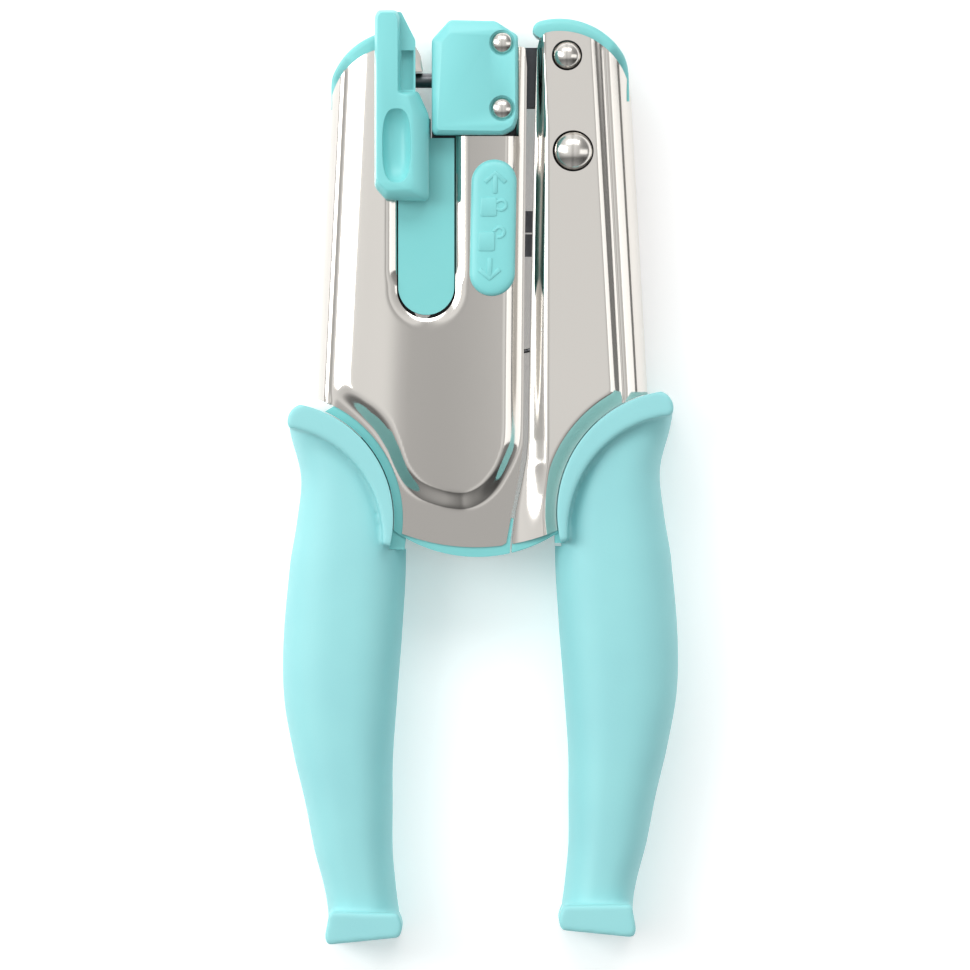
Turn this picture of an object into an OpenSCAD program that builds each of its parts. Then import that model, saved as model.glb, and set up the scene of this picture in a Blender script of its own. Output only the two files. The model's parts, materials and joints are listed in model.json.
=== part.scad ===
// Hand-held craft punch: a reach punch with a sliding paper depth stop and a handle lock.
// It lies on its back. +Z comes out of its front, +Y runs towards the jaws, +X to the lever side.
// The left half carries the jaws. The right half is the lever, hinged at the upper large rivet.

/* [Body] */
// Width of the steel body where it meets the grips
body_w = 71; // [67:1:86]
// How much narrower the body is at the top of its straight sides
body_taper = 6.4; // [4:0.2:8]
// Height of the grip shoulders above the middle of the tool
shoulder_y = 17.7; // [15:0.1:19]
// Thickness of the stamped steel covers
sheet_t = 0.8; // [0.6:0.1:1]
// Width of the rolled side band of the left cover
left_band = 3.4; // [2.6:0.1:4]
// Width of the rolled side band of the right cover
right_band = 5.4; // [4:0.1:6]
// How far the raised panel stands above the rim of a cover
panel_rise = 2.5; // [1.5:0.1:4]
// Gap between the two halves at the grips
seam_gap = 1.1; // [0.8:0.1:1.6]

/* [Works] */
// Thickness of the frame and lever plates
plate_t = 1.8; // [1.5:0.1:2.2]
// Thickness of the ram
ram_t = 5.8; // [5:0.1:7]
// Height of the ram bar
ram_h = 4.8; // [4.4:0.1:5.2]
// Diameter of the punched hole
punch_d = 3.2; // [2.6:0.1:3.9]
// Diameter of the pivot rivet
pivot_d = 4; // [3:0.1:4.2]
// Diameter of the drive rivet
drive_d = 4.4; // [3.6:0.1:4.8]
// Outer diameter of the bush on the drive rivet
bush_d = 6.4; // [6:0.1:7]
// Distance from the pivot to the drive rivet
lever_arm = 20.5; // [19.5:0.1:21.5]
// Width of the paper throat
throat_w = 3.8; // [3.4:0.1:4.2]
// Play of parts that slide past each other
slide_gap = 0.3; // [0.25:0.05:0.4]
// Radial play of turning and guided fits
fit_gap = 0.05; // [0.02:0.01:0.08]

/* [Depth stop] */
// Width of the slot in the front cover
slot_w = 12.9; // [11.5:0.1:14]
// Height of the round end of the slot
slot_end_y = 34.2; // [32:0.2:38]
// Travel of the depth stop
stop_travel = 24; // [16:1:24]

/* [Lock] */
// Width of the oval button
button_w = 9.7; // [8:0.1:10.2]
// Length of the oval button
button_l = 29.2; // [26:0.1:31]
// Travel of the lock
lock_travel = 4; // [3.6:0.1:4.2]

/* [Punch housing] */
// Width of the housing
housing_w = 18.4; // [17:0.1:18.8]
// Height of the housing
housing_l = 24.4; // [23:0.1:26]

/* [Grips] */
// Length of a grip below its shoulder
grip_l = 115; // [100:1:140]
// Width of a grip at the palm
grip_w = 25; // [22:0.5:28]
// Thickness of a grip at the palm
grip_t = 22; // [20:0.5:24]
// How far the collars and the housing stand proud of the covers
collar_rise = 2.3; // [2:0.1:3]
// How much higher the right grip sits
grip_rise = 1.6; // [0:0.1:2]

/* [Hidden] */
$fn = 48;

// Layers, as distances from the middle plane
ram_out = ram_t / 2;
frame_in = ram_out + slide_gap;
frame_out = frame_in + plate_t;
lever_in = frame_out + slide_gap;
lever_out = lever_in + plate_t;
rim_in = lever_out + slide_gap;
rim_out = rim_in + sheet_t;
panel_in = rim_in + panel_rise;
panel_out = panel_in + sheet_t;
mid_z = panel_out + collar_rise;
band_low = 0.6;
band_mid = rim_out * 0.55;
core_out = rim_in - 0.2;
spine_out = frame_out - 0.5;

// Plan of the body
low_half = body_w / 2;
top_half = low_half - body_taper / 2;
corner_y = 79;
seam_x = 9.1;
seam_top_x = 10;
seam_turn_y = 7.2;
cover_top = 92.3;
left_corner = [-top_half + 14.3, corner_y - 1];
left_corner_r = 14.4;
core_corner_r = 8.2;
right_corner = [top_half - 15.4, corner_y + 1.3];
right_corner_r = 15.4;
bottom_arc = [-1, 29.5];
bottom_arc_r = 44.2;
trim_bottom = [-0.7, 14.4];
trim_bottom_r = 31.2;
trim_left = [left_corner[0] + 1, corner_y + 1];
trim_left_r = 16;
trim_right = [right_corner[0], corner_y + 3.3];
trim_right_r = 16.2;
wall = 2.5;
tang_end_y = shoulder_y - grip_l * 0.62;

// Shoulders, where a round collar bites into each lower corner
shoulder = [low_half + 8, -8.5];
grip_edge_r = 24.8;
trim_strip = 2.1;
cover_cut_r = grip_edge_r + trim_strip;
right_edge_r = grip_edge_r + 1.5;
left_slope = 4.2;
right_slope = 0.8;
right_shoulder = [shoulder[0] - 0.9, shoulder[1] + grip_rise - 0.4];

// Punch line and pivots
punch_y = 85.4;
pivot = [18.5, 90.5];
drive = [pivot[0] + 1.3, pivot[1] - lever_arm];
stripper_x = -10.4;
die_x = stripper_x - throat_w;
throat_x = (stripper_x + die_x) / 2;
tip_x = die_x - 0.6;
guide_l = 6.4;
ram_x = stripper_x + guide_l + slide_gap + 0.2;
ram_top = punch_y + ram_h / 2;
ram_bottom = punch_y - ram_h / 2;
pivot_bush_d = pivot_d + 2;
ear_r = pivot_bush_d / 2 + 1.6;
yoke_play = 0.15;
yoke_l = drive[0] - bush_d / 2 - yoke_play;
yoke_r = drive[0] + bush_d / 2 + yoke_play;
yoke_lift = 1.6;
yoke_wall = 2.2;

// Depth stop
slot_x = throat_x + 0.7;
bar_w = slot_w - 2 * slide_gap - 0.3;
bar_top = panel_in - slide_gap;
bar_end_y = slot_end_y + 0.8;
bar_top_y = 72.8;
tongue_top = 77;
tongue_bottom = slot_end_y + stop_travel + 2.4;
tongue_w = throat_w - 2 * slide_gap;

// Lock
button = [2.7, 53.6];
stem = [2.7, 47];
stem_w = 4;
stem_l = 5;
catch_bottom = 52.8;
finger_x = [6.4, 8.6];
finger_top = catch_bottom - 1.9;
bolt_t = 3;

// Housing
housing_x = stripper_x;
housing_y = 73.5;
housing_front = panel_out + 4.4;
rivet_x = housing_x + housing_w - 3.4;
rivet_ys = [housing_y + 5.5, housing_y + housing_l - 4.9];
rivet_d = 2.4;
post_d = rivet_d + 2.6;
rivet_head_d = 4.3;

// A flat layer between two distances from the middle plane
module layer(from, to) {
    translate([0, 0, mid_z + from])
        linear_extrude(to - from)
            children();
}

// The same thing on the back of the tool
module on_back() {
    translate([0, 0, 2 * mid_z])
        mirror([0, 0, 1])
            children();
}

// A round bar along Z between two distances from the middle plane
module post(at, d, from, to) {
    translate([at[0], at[1], mid_z + from])
        cylinder(h = to - from, d = d);
}

// Outline of the whole body, shrunk at the sides by inset
module body_plan(inset = 0, corner_inset = 0) {
    side_low = low_half - inset;
    side_top = top_half - inset;
    polygon([[-side_low, shoulder_y], [-side_top, corner_y], [side_top, corner_y],
        [side_low, shoulder_y]]);
    intersection() {
        translate(bottom_arc)
            circle(bottom_arc_r);
        translate([-side_low, -20])
            square([2 * side_low, shoulder_y + 20]);
    }
    translate([left_corner[0] + inset * 0.5, corner_y - 2])
        square([seam_x - left_corner[0] - inset * 0.5, cover_top - corner_y + 2 - inset * 0.5]);
    translate([left_corner[0] + inset * 0.5, left_corner[1]])
        circle(left_corner_r - inset * 0.5 - corner_inset);
    translate([seam_x + 3, corner_y - 2])
        square([right_corner[0] - seam_x - 3, right_corner_r + 3.3]);
    translate([right_corner[0] - inset * 0.4, right_corner[1]])
        circle(right_corner_r - inset * 0.4 - corner_inset);
}

// Everything left of the seam
module left_side(back = 0) {
    polygon([[-60, 120], [seam_top_x - back, 120], [seam_top_x - back, cover_top],
        [seam_x - back, seam_turn_y], [seam_x - 4.2 - back, -17], [-60, -17]]);
}

// Everything right of the seam
module right_side(back = 0) {
    low = seam_x + seam_gap + back;
    polygon([[60, 120], [low + 2.1, 120], [low + 1.8, cover_top], [low, seam_turn_y + 1],
        [low - 4, -17], [60, -17]]);
}

module left_plan(inset = 0) {
    intersection() {
        body_plan(inset);
        left_side();
    }
}

module right_plan(inset = 0) {
    intersection() {
        body_plan(inset);
        right_side();
    }
}

// Lower part of a cover: three nested outlines, so the outer side rolls over
module band_shell() {
    hull() {
        $fn = 32;
        layer(band_low, band_low + 0.1)
            children(0);
        layer(band_mid, band_mid + 0.1)
            children(1);
        layer(rim_out - 0.1, rim_out)
            children(2);
    }
}

// Raised panel of the left cover, grown by grow, with its top at height top
module left_panel(grow, top) {
    flank = 3.4;
    bowl = [-4, 6.1];
    bowl_r = 13;
    hull() {
        $fn = 32;
        layer(0, rim_out - sheet_t / 2)
            left_panel_plan(left_band - grow, bowl, bowl_r + grow, grow);
        layer(top - 0.1, top)
            left_panel_plan(left_band + flank - grow, bowl, bowl_r - flank + grow, grow - flank);
    }
}

module left_panel_plan(inset, bowl, r, side) {
    intersection() {
        union() {
            translate(bowl)
                circle(r);
            intersection() {
                body_plan(inset);
                translate([-60, bowl[1] + 8])
                    square([120, 120]);
            }
        }
        left_side(-side);
    }
}

// Bevel of the raised panel along a shoulder
module shoulder_bevel(at, r, slope, grow) {
    translate([at[0], at[1], mid_z + rim_out - 0.5])
        cylinder(h = panel_rise + 1.5, r1 = r + 0.2 * slope + grow, r2 = r + 1.2 * slope + grow);
}

module left_front_cover() {
    color("silver")
        left_cover(true);
}

module left_back_cover() {
    color("silver")
        on_back()
            left_cover(false);
}

module left_cover(front) {
    difference() {
        union() {
            band_shell() {
                left_plan();
                left_plan(left_band * 0.3);
                left_plan(left_band);
            }
            difference() {
                left_panel(0, panel_out);
                mirror([1, 0, 0])
                    shoulder_bevel(shoulder, cover_cut_r, left_slope, 0);
            }
        }
        // hollow inside the band, open at the seam, the top and the bottom
        layer(-1, rim_in)
            difference() {
                offset(delta = 3)
                    left_plan(left_band + sheet_t);
                translate([-60, -20])
                    square([60 - low_half + left_band + sheet_t, 130]);
            }
        band_hollow();
        difference() {
            left_panel(-sheet_t, panel_in);
            mirror([1, 0, 0])
                shoulder_bevel(shoulder, cover_cut_r, left_slope, sheet_t);
        }
        mirror([1, 0, 0])
            post(shoulder, 2 * cover_cut_r, -1, 30);
        // the chassis shows past the top corner
        layer(-1, core_out + 0.1)
            union() {
                corner_trim(0.1);
                translate([die_back_x - 2, corner_y + 8])
                    square([20, 30]);
            }
        throat_cut(front);
        housing_cut();
        if (front) {
            stem_slot(panel_in - 5, panel_out + 1);
        }
        if (!front) {
            slug_hole(0, panel_out + 1);
            for (at = left_screws)
                post(at, screw_d + 0.4, 0, panel_out + 1);
        }
    }
}

// Rolled inner face of the left band
module band_hollow() {
    hull() {
        $fn = 32;
        for (level = [[-1, 0], [band_mid - sheet_t, 0.3], [rim_in - 0.1, 1]])
            layer(level[0], level[0] + 0.1)
                left_plan(left_band * level[1] + sheet_t);
    }
}

// Teal corner beyond the cover at the top left
module corner_trim(gap = 0) {
    difference() {
        translate(trim_left)
            circle(trim_left_r + gap);
        translate([-60, -20])
            square([120, corner_y + 20 - gap]);
        translate([left_corner[0] + 1, left_corner[1]])
            circle(core_corner_r + 0.2 - gap);
        translate([die_back_x - 0.2 - gap, -20])
            square([60, 140]);
    }
}

// Slot for the depth stop in front, and the narrow throat behind
module throat_cut(front) {
    w = front ? slot_w : throat_w;
    x = front ? slot_x : throat_x;
    top = front ? tongue_top + 3 : 110;
    layer(0, panel_out + 1)
        union() {
            translate([x, slot_end_y + w / 2])
                circle(w / 2);
            translate([x - w / 2, slot_end_y + w / 2])
                square([w, top - slot_end_y - w / 2]);
            translate([die_x, tongue_top])
                square([throat_w, 40]);
        }
}

module housing_cut() {
    layer(0, panel_out + 10)
        translate([housing_x - 0.2, housing_y - 0.2])
            square([housing_w + 0.4, 40]);
}

module stem_slot(from, to) {
    layer(from, to)
        translate([stem[0] - stem_w / 2 - slide_gap, stem[1] - stem_l / 2 - slide_gap])
            square([stem_w + 2 * slide_gap, stem_l + lock_travel + 2 * slide_gap]);
}

slug = [die_x - 6.6, punch_y];
slug_d = 4.4;
module slug_hole(from, to) {
    post(slug, slug_d, from, to);
}

// Interior of the body: what the chassis and the spine leave free
module left_core() {
    union() {
        intersection() {
            body_plan(left_band + sheet_t + wall + 0.4);
            translate([-60, -10])
                square([120, corner_y + 10]);
        }
        translate([left_corner[0] + 1, left_corner[1]])
            circle(core_corner_r);
        translate([left_corner[0] + 1, corner_y - 2])
            square([40, 40]);
    }
}

// Screw places on the back of the left half
screw_d = 2.2;
left_screws = [[-low_half + 12.8, 60], [-low_half + 11.8, 31], [-2, 1.5]];
left_ribs = [[left_screws[0], [-low_half + 6, 60]], [left_screws[1], [-low_half + 6, 31]],
    [left_screws[2], [left_screws[2][0], -12]]];
right_screws = [[low_half - 20.1, 4]];

module chassis() {
    color("turquoise")
        difference() {
            union() {
                layer(-core_out, core_out)
                    chassis_plan();
                for (at = left_screws)
                    post(at, screw_d + 3.4, -core_out, core_out);
                for (rib = left_ribs)
                    layer(-ram_out, ram_out)
                        strut(rib[0], rib[1], 2.4);
            }
            for (at = left_screws)
                post(at, screw_d - 0.2, -core_out - 1, 3);
            layer(-frame_out, frame_out)
                tang(-1, 0.2);
        }
}

// A straight bar of a given width between two points
module strut(from, to, w) {
    run = to - from;
    translate(from)
        rotate(atan2(run[1], run[0]))
            translate([0, -w / 2])
                square([norm(run), w]);
}

module chassis_plan() {
    difference() {
        union() {
            difference() {
                intersection() {
                    body_plan(left_band + sheet_t + 0.4);
                    left_side();
                    translate([-60, -20])
                        square([120, corner_y + 20]);
                }
                left_cavity();
            }
            difference() {
                intersection() {
                    translate(trim_bottom)
                        circle(trim_bottom_r);
                    left_side();
                    translate([-60, -40])
                        square([120, 44]);
                }
                left_cavity();
            }
            corner_trim();
        }
        mirror([1, 0, 0])
            translate(shoulder)
                circle(grip_edge_r + 0.1);
    }
}

// Free space inside the left half, where the plates lie
module left_cavity() {
    difference() {
        intersection() {
            left_core();
            union() {
                translate(trim_bottom + [0, 1])
                    circle(trim_bottom_r - 5);
                translate([-60, 10])
                    square([120, 120]);
            }
        }
        mirror([1, 0, 0])
            translate(shoulder)
                circle(cover_cut_r + 1.2);
    }
}

// Steel tongue of a pair of plates that runs down inside a grip; side is -1 or 1
module tang(side, grow = 0) {
    rise = side > 0 ? grip_rise : 0;
    root_x = low_half - 14.5;
    polygon([[side * (root_x - 4 - grow), 10 + rise + grow],
        [side * (root_x + 3 + grow), 14 + rise + grow],
        [side * (root_x + 12 + grow), -16 + rise],
        [side * (root_x + 12 + grow), tang_end_y],
        [side * (root_x + 5 - grow), tang_end_y],
        [side * (root_x + 1 - grow), -16 + rise]]);
}

module frame_plan() {
    difference() {
        union() {
            intersection() {
                offset(delta = -0.2)
                    left_cavity();
                left_side(1.3);
                translate([-60, -20])
                    square([120, cover_top + 18]);
            }
            tang(-1);
            translate([0, pivot[1] - 11])
                square([pivot[0], cover_top - pivot[1] + 11]);
            translate(pivot)
                circle(ear_r);
        }
        // throat
        translate([throat_x, slot_end_y + throat_w / 2])
            circle(throat_w / 2);
        translate([die_x, slot_end_y + throat_w / 2])
            square([throat_w, 110]);
        // room for the nose of the die holder
        translate([-60, nose_y])
            square([60 + die_x + 0.1, 40]);
        translate(pivot)
            circle(d = pivot_bush_d);
        for (at = frame_posts)
            translate(at)
                circle(d = rivet_d);
        for (y = rivet_ys)
            translate([rivet_x, y])
                circle(d = rivet_d);
        for (at = die_posts)
            translate(at)
                circle(d = die_rivet_d);
        for (at = left_screws)
            translate(at)
                circle(d = screw_d + 3.8);
    }
}

frame_posts = [[-low_half + 12.9, 71], [-low_half + 12, 46], [0.5, 22], [-12, 3]];
nose_y = punch_y + 2.2;
die_rivet_d = 2;
die_posts = [[die_x - 3, punch_y - 5.4], [die_x - 7.6, punch_y - 5.4]];
die_back_x = die_x - 9.7;

module frame_plate_front() {
    color("dimgray")
        difference() {
            layer(frame_in, frame_out)
                frame_plan();
            stem_slot(0, 20);
        }
}

module frame_plate_back() {
    color("dimgray")
        on_back()
            difference() {
                layer(frame_in, frame_out)
                    frame_plan();
                slug_hole(0, 20);
            }
}

module frame_spacers() {
    color("slategray")
        for (at = concat(frame_posts, [for (y = rivet_ys) [rivet_x, y]]))
            difference() {
                post(at, rivet_d + 2.4, -frame_in, frame_in);
                post(at, rivet_d, -frame_in - 1, frame_in + 1);
            }
}

module frame_rivets() {
    color("gray")
        for (at = frame_posts)
            union() {
                post(at, rivet_d, -frame_out, frame_out);
                post(at, rivet_d + 1.8, frame_out, frame_out + 0.9);
                post(at, rivet_d + 1.8, -frame_out - 0.9, -frame_out);
            }
}

// A round-headed rivet: domed heads whose rims sit at a distance from the middle plane
module domed_rivet(at, d, head_d, head_h, seat) {
    ball = (head_d * head_d / 4 + head_h * head_h) / (2 * head_h);
    translate([at[0], at[1], mid_z])
        rotate_extrude()
            intersection() {
                translate([0, -40])
                    square([head_d / 2, 80]);
                union() {
                    translate([0, -seat])
                        square([d / 2, 2 * seat]);
                    for (side = [-1, 1])
                        intersection() {
                            translate([0, side * (seat + head_h - ball)])
                                circle(ball);
                            translate([0, side > 0 ? seat : -seat - head_h - 1])
                                square([head_d, head_h + 1]);
                        }
                }
            }
}

module housing_plan(inset = 0) {
    x0 = housing_x + inset;
    x1 = housing_x + housing_w - inset;
    y0 = housing_y + inset;
    y1 = housing_y + housing_l - inset;
    polygon([[x0, y0], [x1 - 2.2, y0], [x1, y0 + 2.6], [x1, y1 - 2.4], [x1 - 0.6, y1 - 1.6],
        [x1 - 5.4, y1], [x0 + 3.2, y1 - 0.8], [x0, y1 - 5.2]]);
}

module housing_half(top) {
    difference() {
        hull() {
            $fn = 32;
            layer(frame_out, top - 2.2)
                housing_plan();
            layer(top - 0.1, top)
                translate([0, -0.8])
                    housing_plan(1.3);
        }
        layer(frame_out - 1, top - 4)
            difference() {
                housing_plan(2);
                for (y = rivet_ys)
                    translate([rivet_x, y])
                        circle(d = rivet_head_d + 1.6);
            }
        for (y = rivet_ys) {
            post([rivet_x, y], rivet_d, frame_out - 1, top + 1);
            post([rivet_x, y], rivet_head_d + 0.5, top - 1, top + 1);
        }
    }
}

module punch_housing_front() {
    color("mediumturquoise")
        housing_half(housing_front);
}

module punch_housing_back() {
    color("mediumturquoise")
        on_back()
            housing_half(mid_z);
}

module housing_rivets() {
    color("silver")
        for (y = rivet_ys)
            union() {
                post([rivet_x, y], rivet_d, 1 - mid_z, housing_front - 1);
                translate([rivet_x, y, mid_z + housing_front - 1])
                    dome(rivet_head_d, 1.7);
                translate([rivet_x, y, 1])
                    mirror([0, 0, 1])
                        dome(rivet_head_d, 0.9);
            }
}

// A domed head standing on the plane z = 0
module dome(d, h) {
    ball = (d * d / 4 + h * h) / (2 * h);
    rotate_extrude()
        intersection() {
            translate([0, h - ball])
                circle(ball);
            square([d / 2, h]);
        }
}

module punch_guide() {
    color("slategray")
        difference() {
            translate([stripper_x, punch_y - 3.6, mid_z - frame_in])
                cube([guide_l, 7.2, 2 * frame_in]);
            translate([stripper_x - 1, punch_y, mid_z])
                rotate([0, 90, 0])
                    cylinder(h = guide_l + 2, d = punch_d + 2 * fit_gap);
        }
}

die_d = 5.2;
die_l = 5;
module die_holder() {
    color("lightgray")
        difference() {
            union() {
                translate([die_back_x, punch_y - 7.6, mid_z - frame_in])
                    cube([die_x - die_back_x, nose_y - punch_y + 7.6, 2 * frame_in]);
                layer(-lever_in, lever_in)
                    polygon([[die_back_x, nose_y], [die_x + 1.9, nose_y],
                        [die_x + 1.6, nose_y + 3.4], [die_x - 1.8, cover_top + 4.2],
                        [die_back_x, cover_top + 4.2]]);
            }
            translate([die_x - die_l, punch_y, mid_z])
                rotate([0, 90, 0])
                    cylinder(h = die_l + 1, d = die_d);
            translate([slug[0], punch_y, mid_z])
                rotate([0, 90, 0])
                    cylinder(h = 8, d = punch_d + 0.6);
            slug_hole(-10, punch_d / 2 + 0.3);
            for (at = die_posts)
                post(at, die_rivet_d, -10, 10);
        }
}

module die_button() {
    color("gray")
        translate([die_x - die_l, punch_y, mid_z])
            rotate([0, 90, 0])
                difference() {
                    cylinder(h = die_l, d = die_d);
                    translate([0, 0, -1])
                        cylinder(h = die_l + 2, d = punch_d + 2 * fit_gap);
                }
}

module die_rivets() {
    color("gray")
        for (at = die_posts)
            post(at, die_rivet_d, -frame_out, frame_out);
}

// Pan-head screws seated on the back of a half
module cover_screw(at) {
    post(at, screw_d - 0.2, -panel_out, 2);
    translate([at[0], at[1], mid_z - panel_out])
        mirror([0, 0, 1])
            difference() {
                dome(screw_d + 2.2, 1.3);
                translate([-0.4, -1.4, 0.7])
                    cube([0.8, 2.8, 2]);
                translate([-1.4, -0.4, 0.7])
                    cube([2.8, 0.8, 2]);
            }
}

module left_cover_screws() {
    color("silver")
        for (at = left_screws)
            cover_screw(at);
}

module right_cover_screws() {
    color("silver")
        for (at = right_screws)
            cover_screw(at);
}

// Coil round a frame spacer, with one leg on the frame and one that pushes the lever
module return_spring() {
    at = frame_posts[2];
    r = rivet_d / 2 + 2.4;
    wire = 1;
    color("lightsteelblue")
        union() {
            for (turn = [-1:1])
                translate([at[0], at[1], mid_z + turn * (wire + 0.1)])
                    rotate_extrude()
                        translate([r, 0])
                            circle(d = wire, $fn = 10);
            spring_leg(at + [0, r], lever_posts[1] + [-4.3, 0.8], 0.85 * wire, wire + 0.1);
            spring_leg(at + [-r, 0], at + [-r - 1, 9], 0.85 * wire, -wire - 0.1);
            translate([at[0] + r * 0.7, at[1] + r * 0.7, mid_z])
                cylinder(h = 2.3 * wire, d = 0.7 * wire, center = true);
        }
}

module spring_leg(from, to, d, level) {
    run = to - from;
    translate([from[0], from[1], mid_z + level])
        rotate([0, 0, atan2(run[1], run[0])])
            rotate([0, 90, 0])
                cylinder(h = norm(run), d = d);
}

// Leaf between the frame plates that clicks the lock bolt at each end
module lock_detent_spring() {
    color("lightsteelblue")
        layer(-1.4, 1.4)
            union() {
                translate([stem[0] - 5.8, 30])
                    square([0.5, 19]);
                translate([stem[0] - 5.5, 47])
                    circle(0.9);
                translate([stem[0] - 5.8, 30])
                    square([7, 0.5]);
            }
}

// Leaf under the front cover that keeps the depth stop where it is put
module stop_friction_spring() {
    color("lightsteelblue")
        layer(lever_in + 0.4, lever_in + 2.6)
            union() {
                translate([slot_x - slot_w / 2 - 1.6, 38])
                    square([0.5, 26]);
                translate([slot_x - slot_w / 2 - 1.1, 50])
                    circle(0.7);
                translate([slot_x - slot_w / 2 - 3.6, 38])
                    square([2.5, 0.5]);
            }
}

module pivot_bushes() {
    color("goldenrod")
        for (side = [0, 1])
            mirror_if(side)
                difference() {
                    post(pivot, pivot_bush_d, frame_in, frame_out);
                    post(pivot, pivot_d + 2 * fit_gap, frame_in - 1, frame_out + 1);
                }
}

module mirror_if(side) {
    if (side == 0)
        children();
    else
        on_back()
            children();
}

module right_panel(grow, top) {
    flank = 3;
    hull() {
        $fn = 32;
        layer(0, rim_out - sheet_t / 2)
            right_panel_plan(right_band - grow, -grow);
        layer(top - 0.1, top)
            right_panel_plan(right_band + flank - grow, flank + 0.4 - grow);
    }
}

module right_panel_plan(inset, side) {
    intersection() {
        body_plan(inset);
        right_side(side);
        translate([-60, -3.4 + side])
            square([120, 130]);
    }
}

module right_front_cover() {
    color("silver")
        right_cover();
}

module right_back_cover() {
    color("silver")
        on_back()
            difference() {
                right_cover();
                for (at = right_screws)
                    post(at, screw_d + 0.4, 0, panel_out + 1);
            }
}

module right_cover() {
    difference() {
        union() {
            band_shell() {
                right_plan();
                right_plan(right_band * 0.27);
                right_plan(right_band);
            }
            difference() {
                right_panel(0, panel_out);
                shoulder_bevel(right_shoulder, right_edge_r, right_slope, 0);
            }
        }
        layer(-1, rim_in)
            difference() {
                offset(delta = 3)
                    right_plan(right_band + sheet_t);
                translate([low_half - right_band - sheet_t, -20])
                    square([60, 130]);
            }
        hull() {
            $fn = 32;
            for (level = [[-1, 0], [band_mid - sheet_t, 0.27], [rim_in - 0.1, 1]])
                layer(level[0], level[0] + 0.1)
                    right_plan(right_band * level[1] + sheet_t);
        }
        difference() {
            right_panel(-sheet_t, panel_in);
            shoulder_bevel(right_shoulder, right_edge_r, right_slope, sheet_t);
        }
        post(right_shoulder, 2 * right_edge_r + 0.4, -1, 30);
        layer(-1, core_out + 0.1)
            union() {
                top_trim(0.1);
                translate(pivot)
                    circle(ear_r + 1);
            }
        layer(-1, 30)
            difference() {
                translate([-20, -30])
                    square([50, 150]);
                right_side();
            }
        post(pivot, pivot_d + 2 * fit_gap, 0, 30);
        post(drive, drive_d + 2 * fit_gap, 0, 30);
    }
}

// Teal edge beyond the cover at the top right
module top_trim(gap = 0) {
    difference() {
        intersection() {
            translate(trim_right)
                circle(trim_right_r + gap);
            right_side(-gap);
            translate([0, corner_y + 2 - gap])
                square([60, 60]);
        }
        translate([right_corner[0] - 1, right_corner[1]])
            circle(right_corner_r - 2.8 - gap);
        translate([0, corner_y - 20])
            square([right_corner[0], pivot[1] - corner_y + 24 - gap]);
        translate(pivot)
            circle(ear_r + 0.6);
    }
}

module spine() {
    color("turquoise")
        difference() {
            union() {
                layer(-spine_out, spine_out)
                    spine_plan();
                layer(-core_out, core_out)
                    top_trim();
                for (at = right_screws)
                    post(at, screw_d + 3.4, -core_out, core_out);
            }
            for (at = right_screws)
                post(at, screw_d - 0.2, -core_out - 1, 3);
        }
}

module spine_plan() {
    difference() {
        union() {
            intersection() {
                body_plan(right_band * 0.27 + sheet_t + 0.8);
                right_side();
                translate([-60, -8])
                    square([120, corner_y + 20]);
            }
            intersection() {
                translate(trim_bottom)
                    circle(trim_bottom_r);
                right_side();
                translate([-60, -40])
                    square([120, 44]);
            }
        }
        difference() {
            intersection() {
                body_plan(right_band * 0.27 + sheet_t + wall + 0.4, 2);
                union() {
                    translate(trim_bottom + [0, 1])
                        circle(trim_bottom_r - 5);
                    translate([-60, 10])
                        square([120, 120]);
                }
            }
            translate(right_shoulder)
                circle(right_edge_r + wall);
        }
        translate([0, 60])
            square([right_corner[0] + 1, 60]);
        translate(pivot)
            circle(ear_r + 0.6);
        translate(lever_posts[2])
            circle(post_d / 2 + fit_gap);
        translate(right_shoulder)
            circle(right_edge_r + 0.1);
    }
}

lever_posts = [[pivot[0] + 3, 50], [pivot[0] + 3, 28],
    [low_half - 15.5, 14]];

// One lever plate: rounded links from the pivot down to the tang
module lever_plate() {
    knots = [pivot, drive, lever_posts[1], lever_posts[2]];
    radii = [ear_r + 0.4, bush_d / 2 + 2.4, 5, 4.6];
    difference() {
        union() {
            for (k = [0:2])
                hull() {
                    $fn = 32;
                    layer(lever_in, lever_out)
                        translate(knots[k])
                            circle(radii[k]);
                    layer(lever_in, lever_out)
                        translate(knots[k + 1])
                            circle(radii[k + 1]);
                }
            layer(lever_in, lever_out)
                tang(1);
        }
        post(pivot, pivot_d, 0, 20);
        post(drive, drive_d, 0, 20);
        for (at = lever_posts)
            post(at, rivet_d, 0, 20);
        for (at = right_screws)
            post(at, screw_d + 3.8, 0, 20);
    }
}

module lever_plate_front() {
    color("dimgray")
        lever_plate();
}

module lever_plate_back() {
    color("dimgray")
        on_back()
            lever_plate();
}

module lever_spacers() {
    color("slategray")
        union() {
            for (at = [lever_posts[1], lever_posts[2]])
                difference() {
                    post(at, post_d, -lever_in, lever_in);
                    post(at, rivet_d, -lever_in - 1, lever_in + 1);
                }
            for (side = [0, 1])
                mirror_if(side)
                    difference() {
                        post(lever_posts[0], post_d, bolt_t / 2, lever_in);
                        post(lever_posts[0], rivet_d, 0, lever_in + 1);
                    }
        }
}

module lever_rivets() {
    color("gray")
        for (at = lever_posts)
            union() {
                post(at, rivet_d, -lever_out, lever_out);
                post(at, rivet_d + 1.8, lever_out, lever_out + 0.9);
                post(at, rivet_d + 1.8, -lever_out - 0.9, -lever_out);
            }
}

module pivot_rivet() {
    color("silver")
        domed_rivet(pivot, pivot_d, 6, 1.6, panel_out);
}

module drive_rivet() {
    color("silver")
        domed_rivet(drive, drive_d, 8.2, 2, panel_out);
}

module drive_bush() {
    color("gray")
        difference() {
            post(drive, bush_d, -lever_in, lever_in);
            post(drive, drive_d, -lever_in - 1, lever_in + 1);
        }
}

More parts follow.
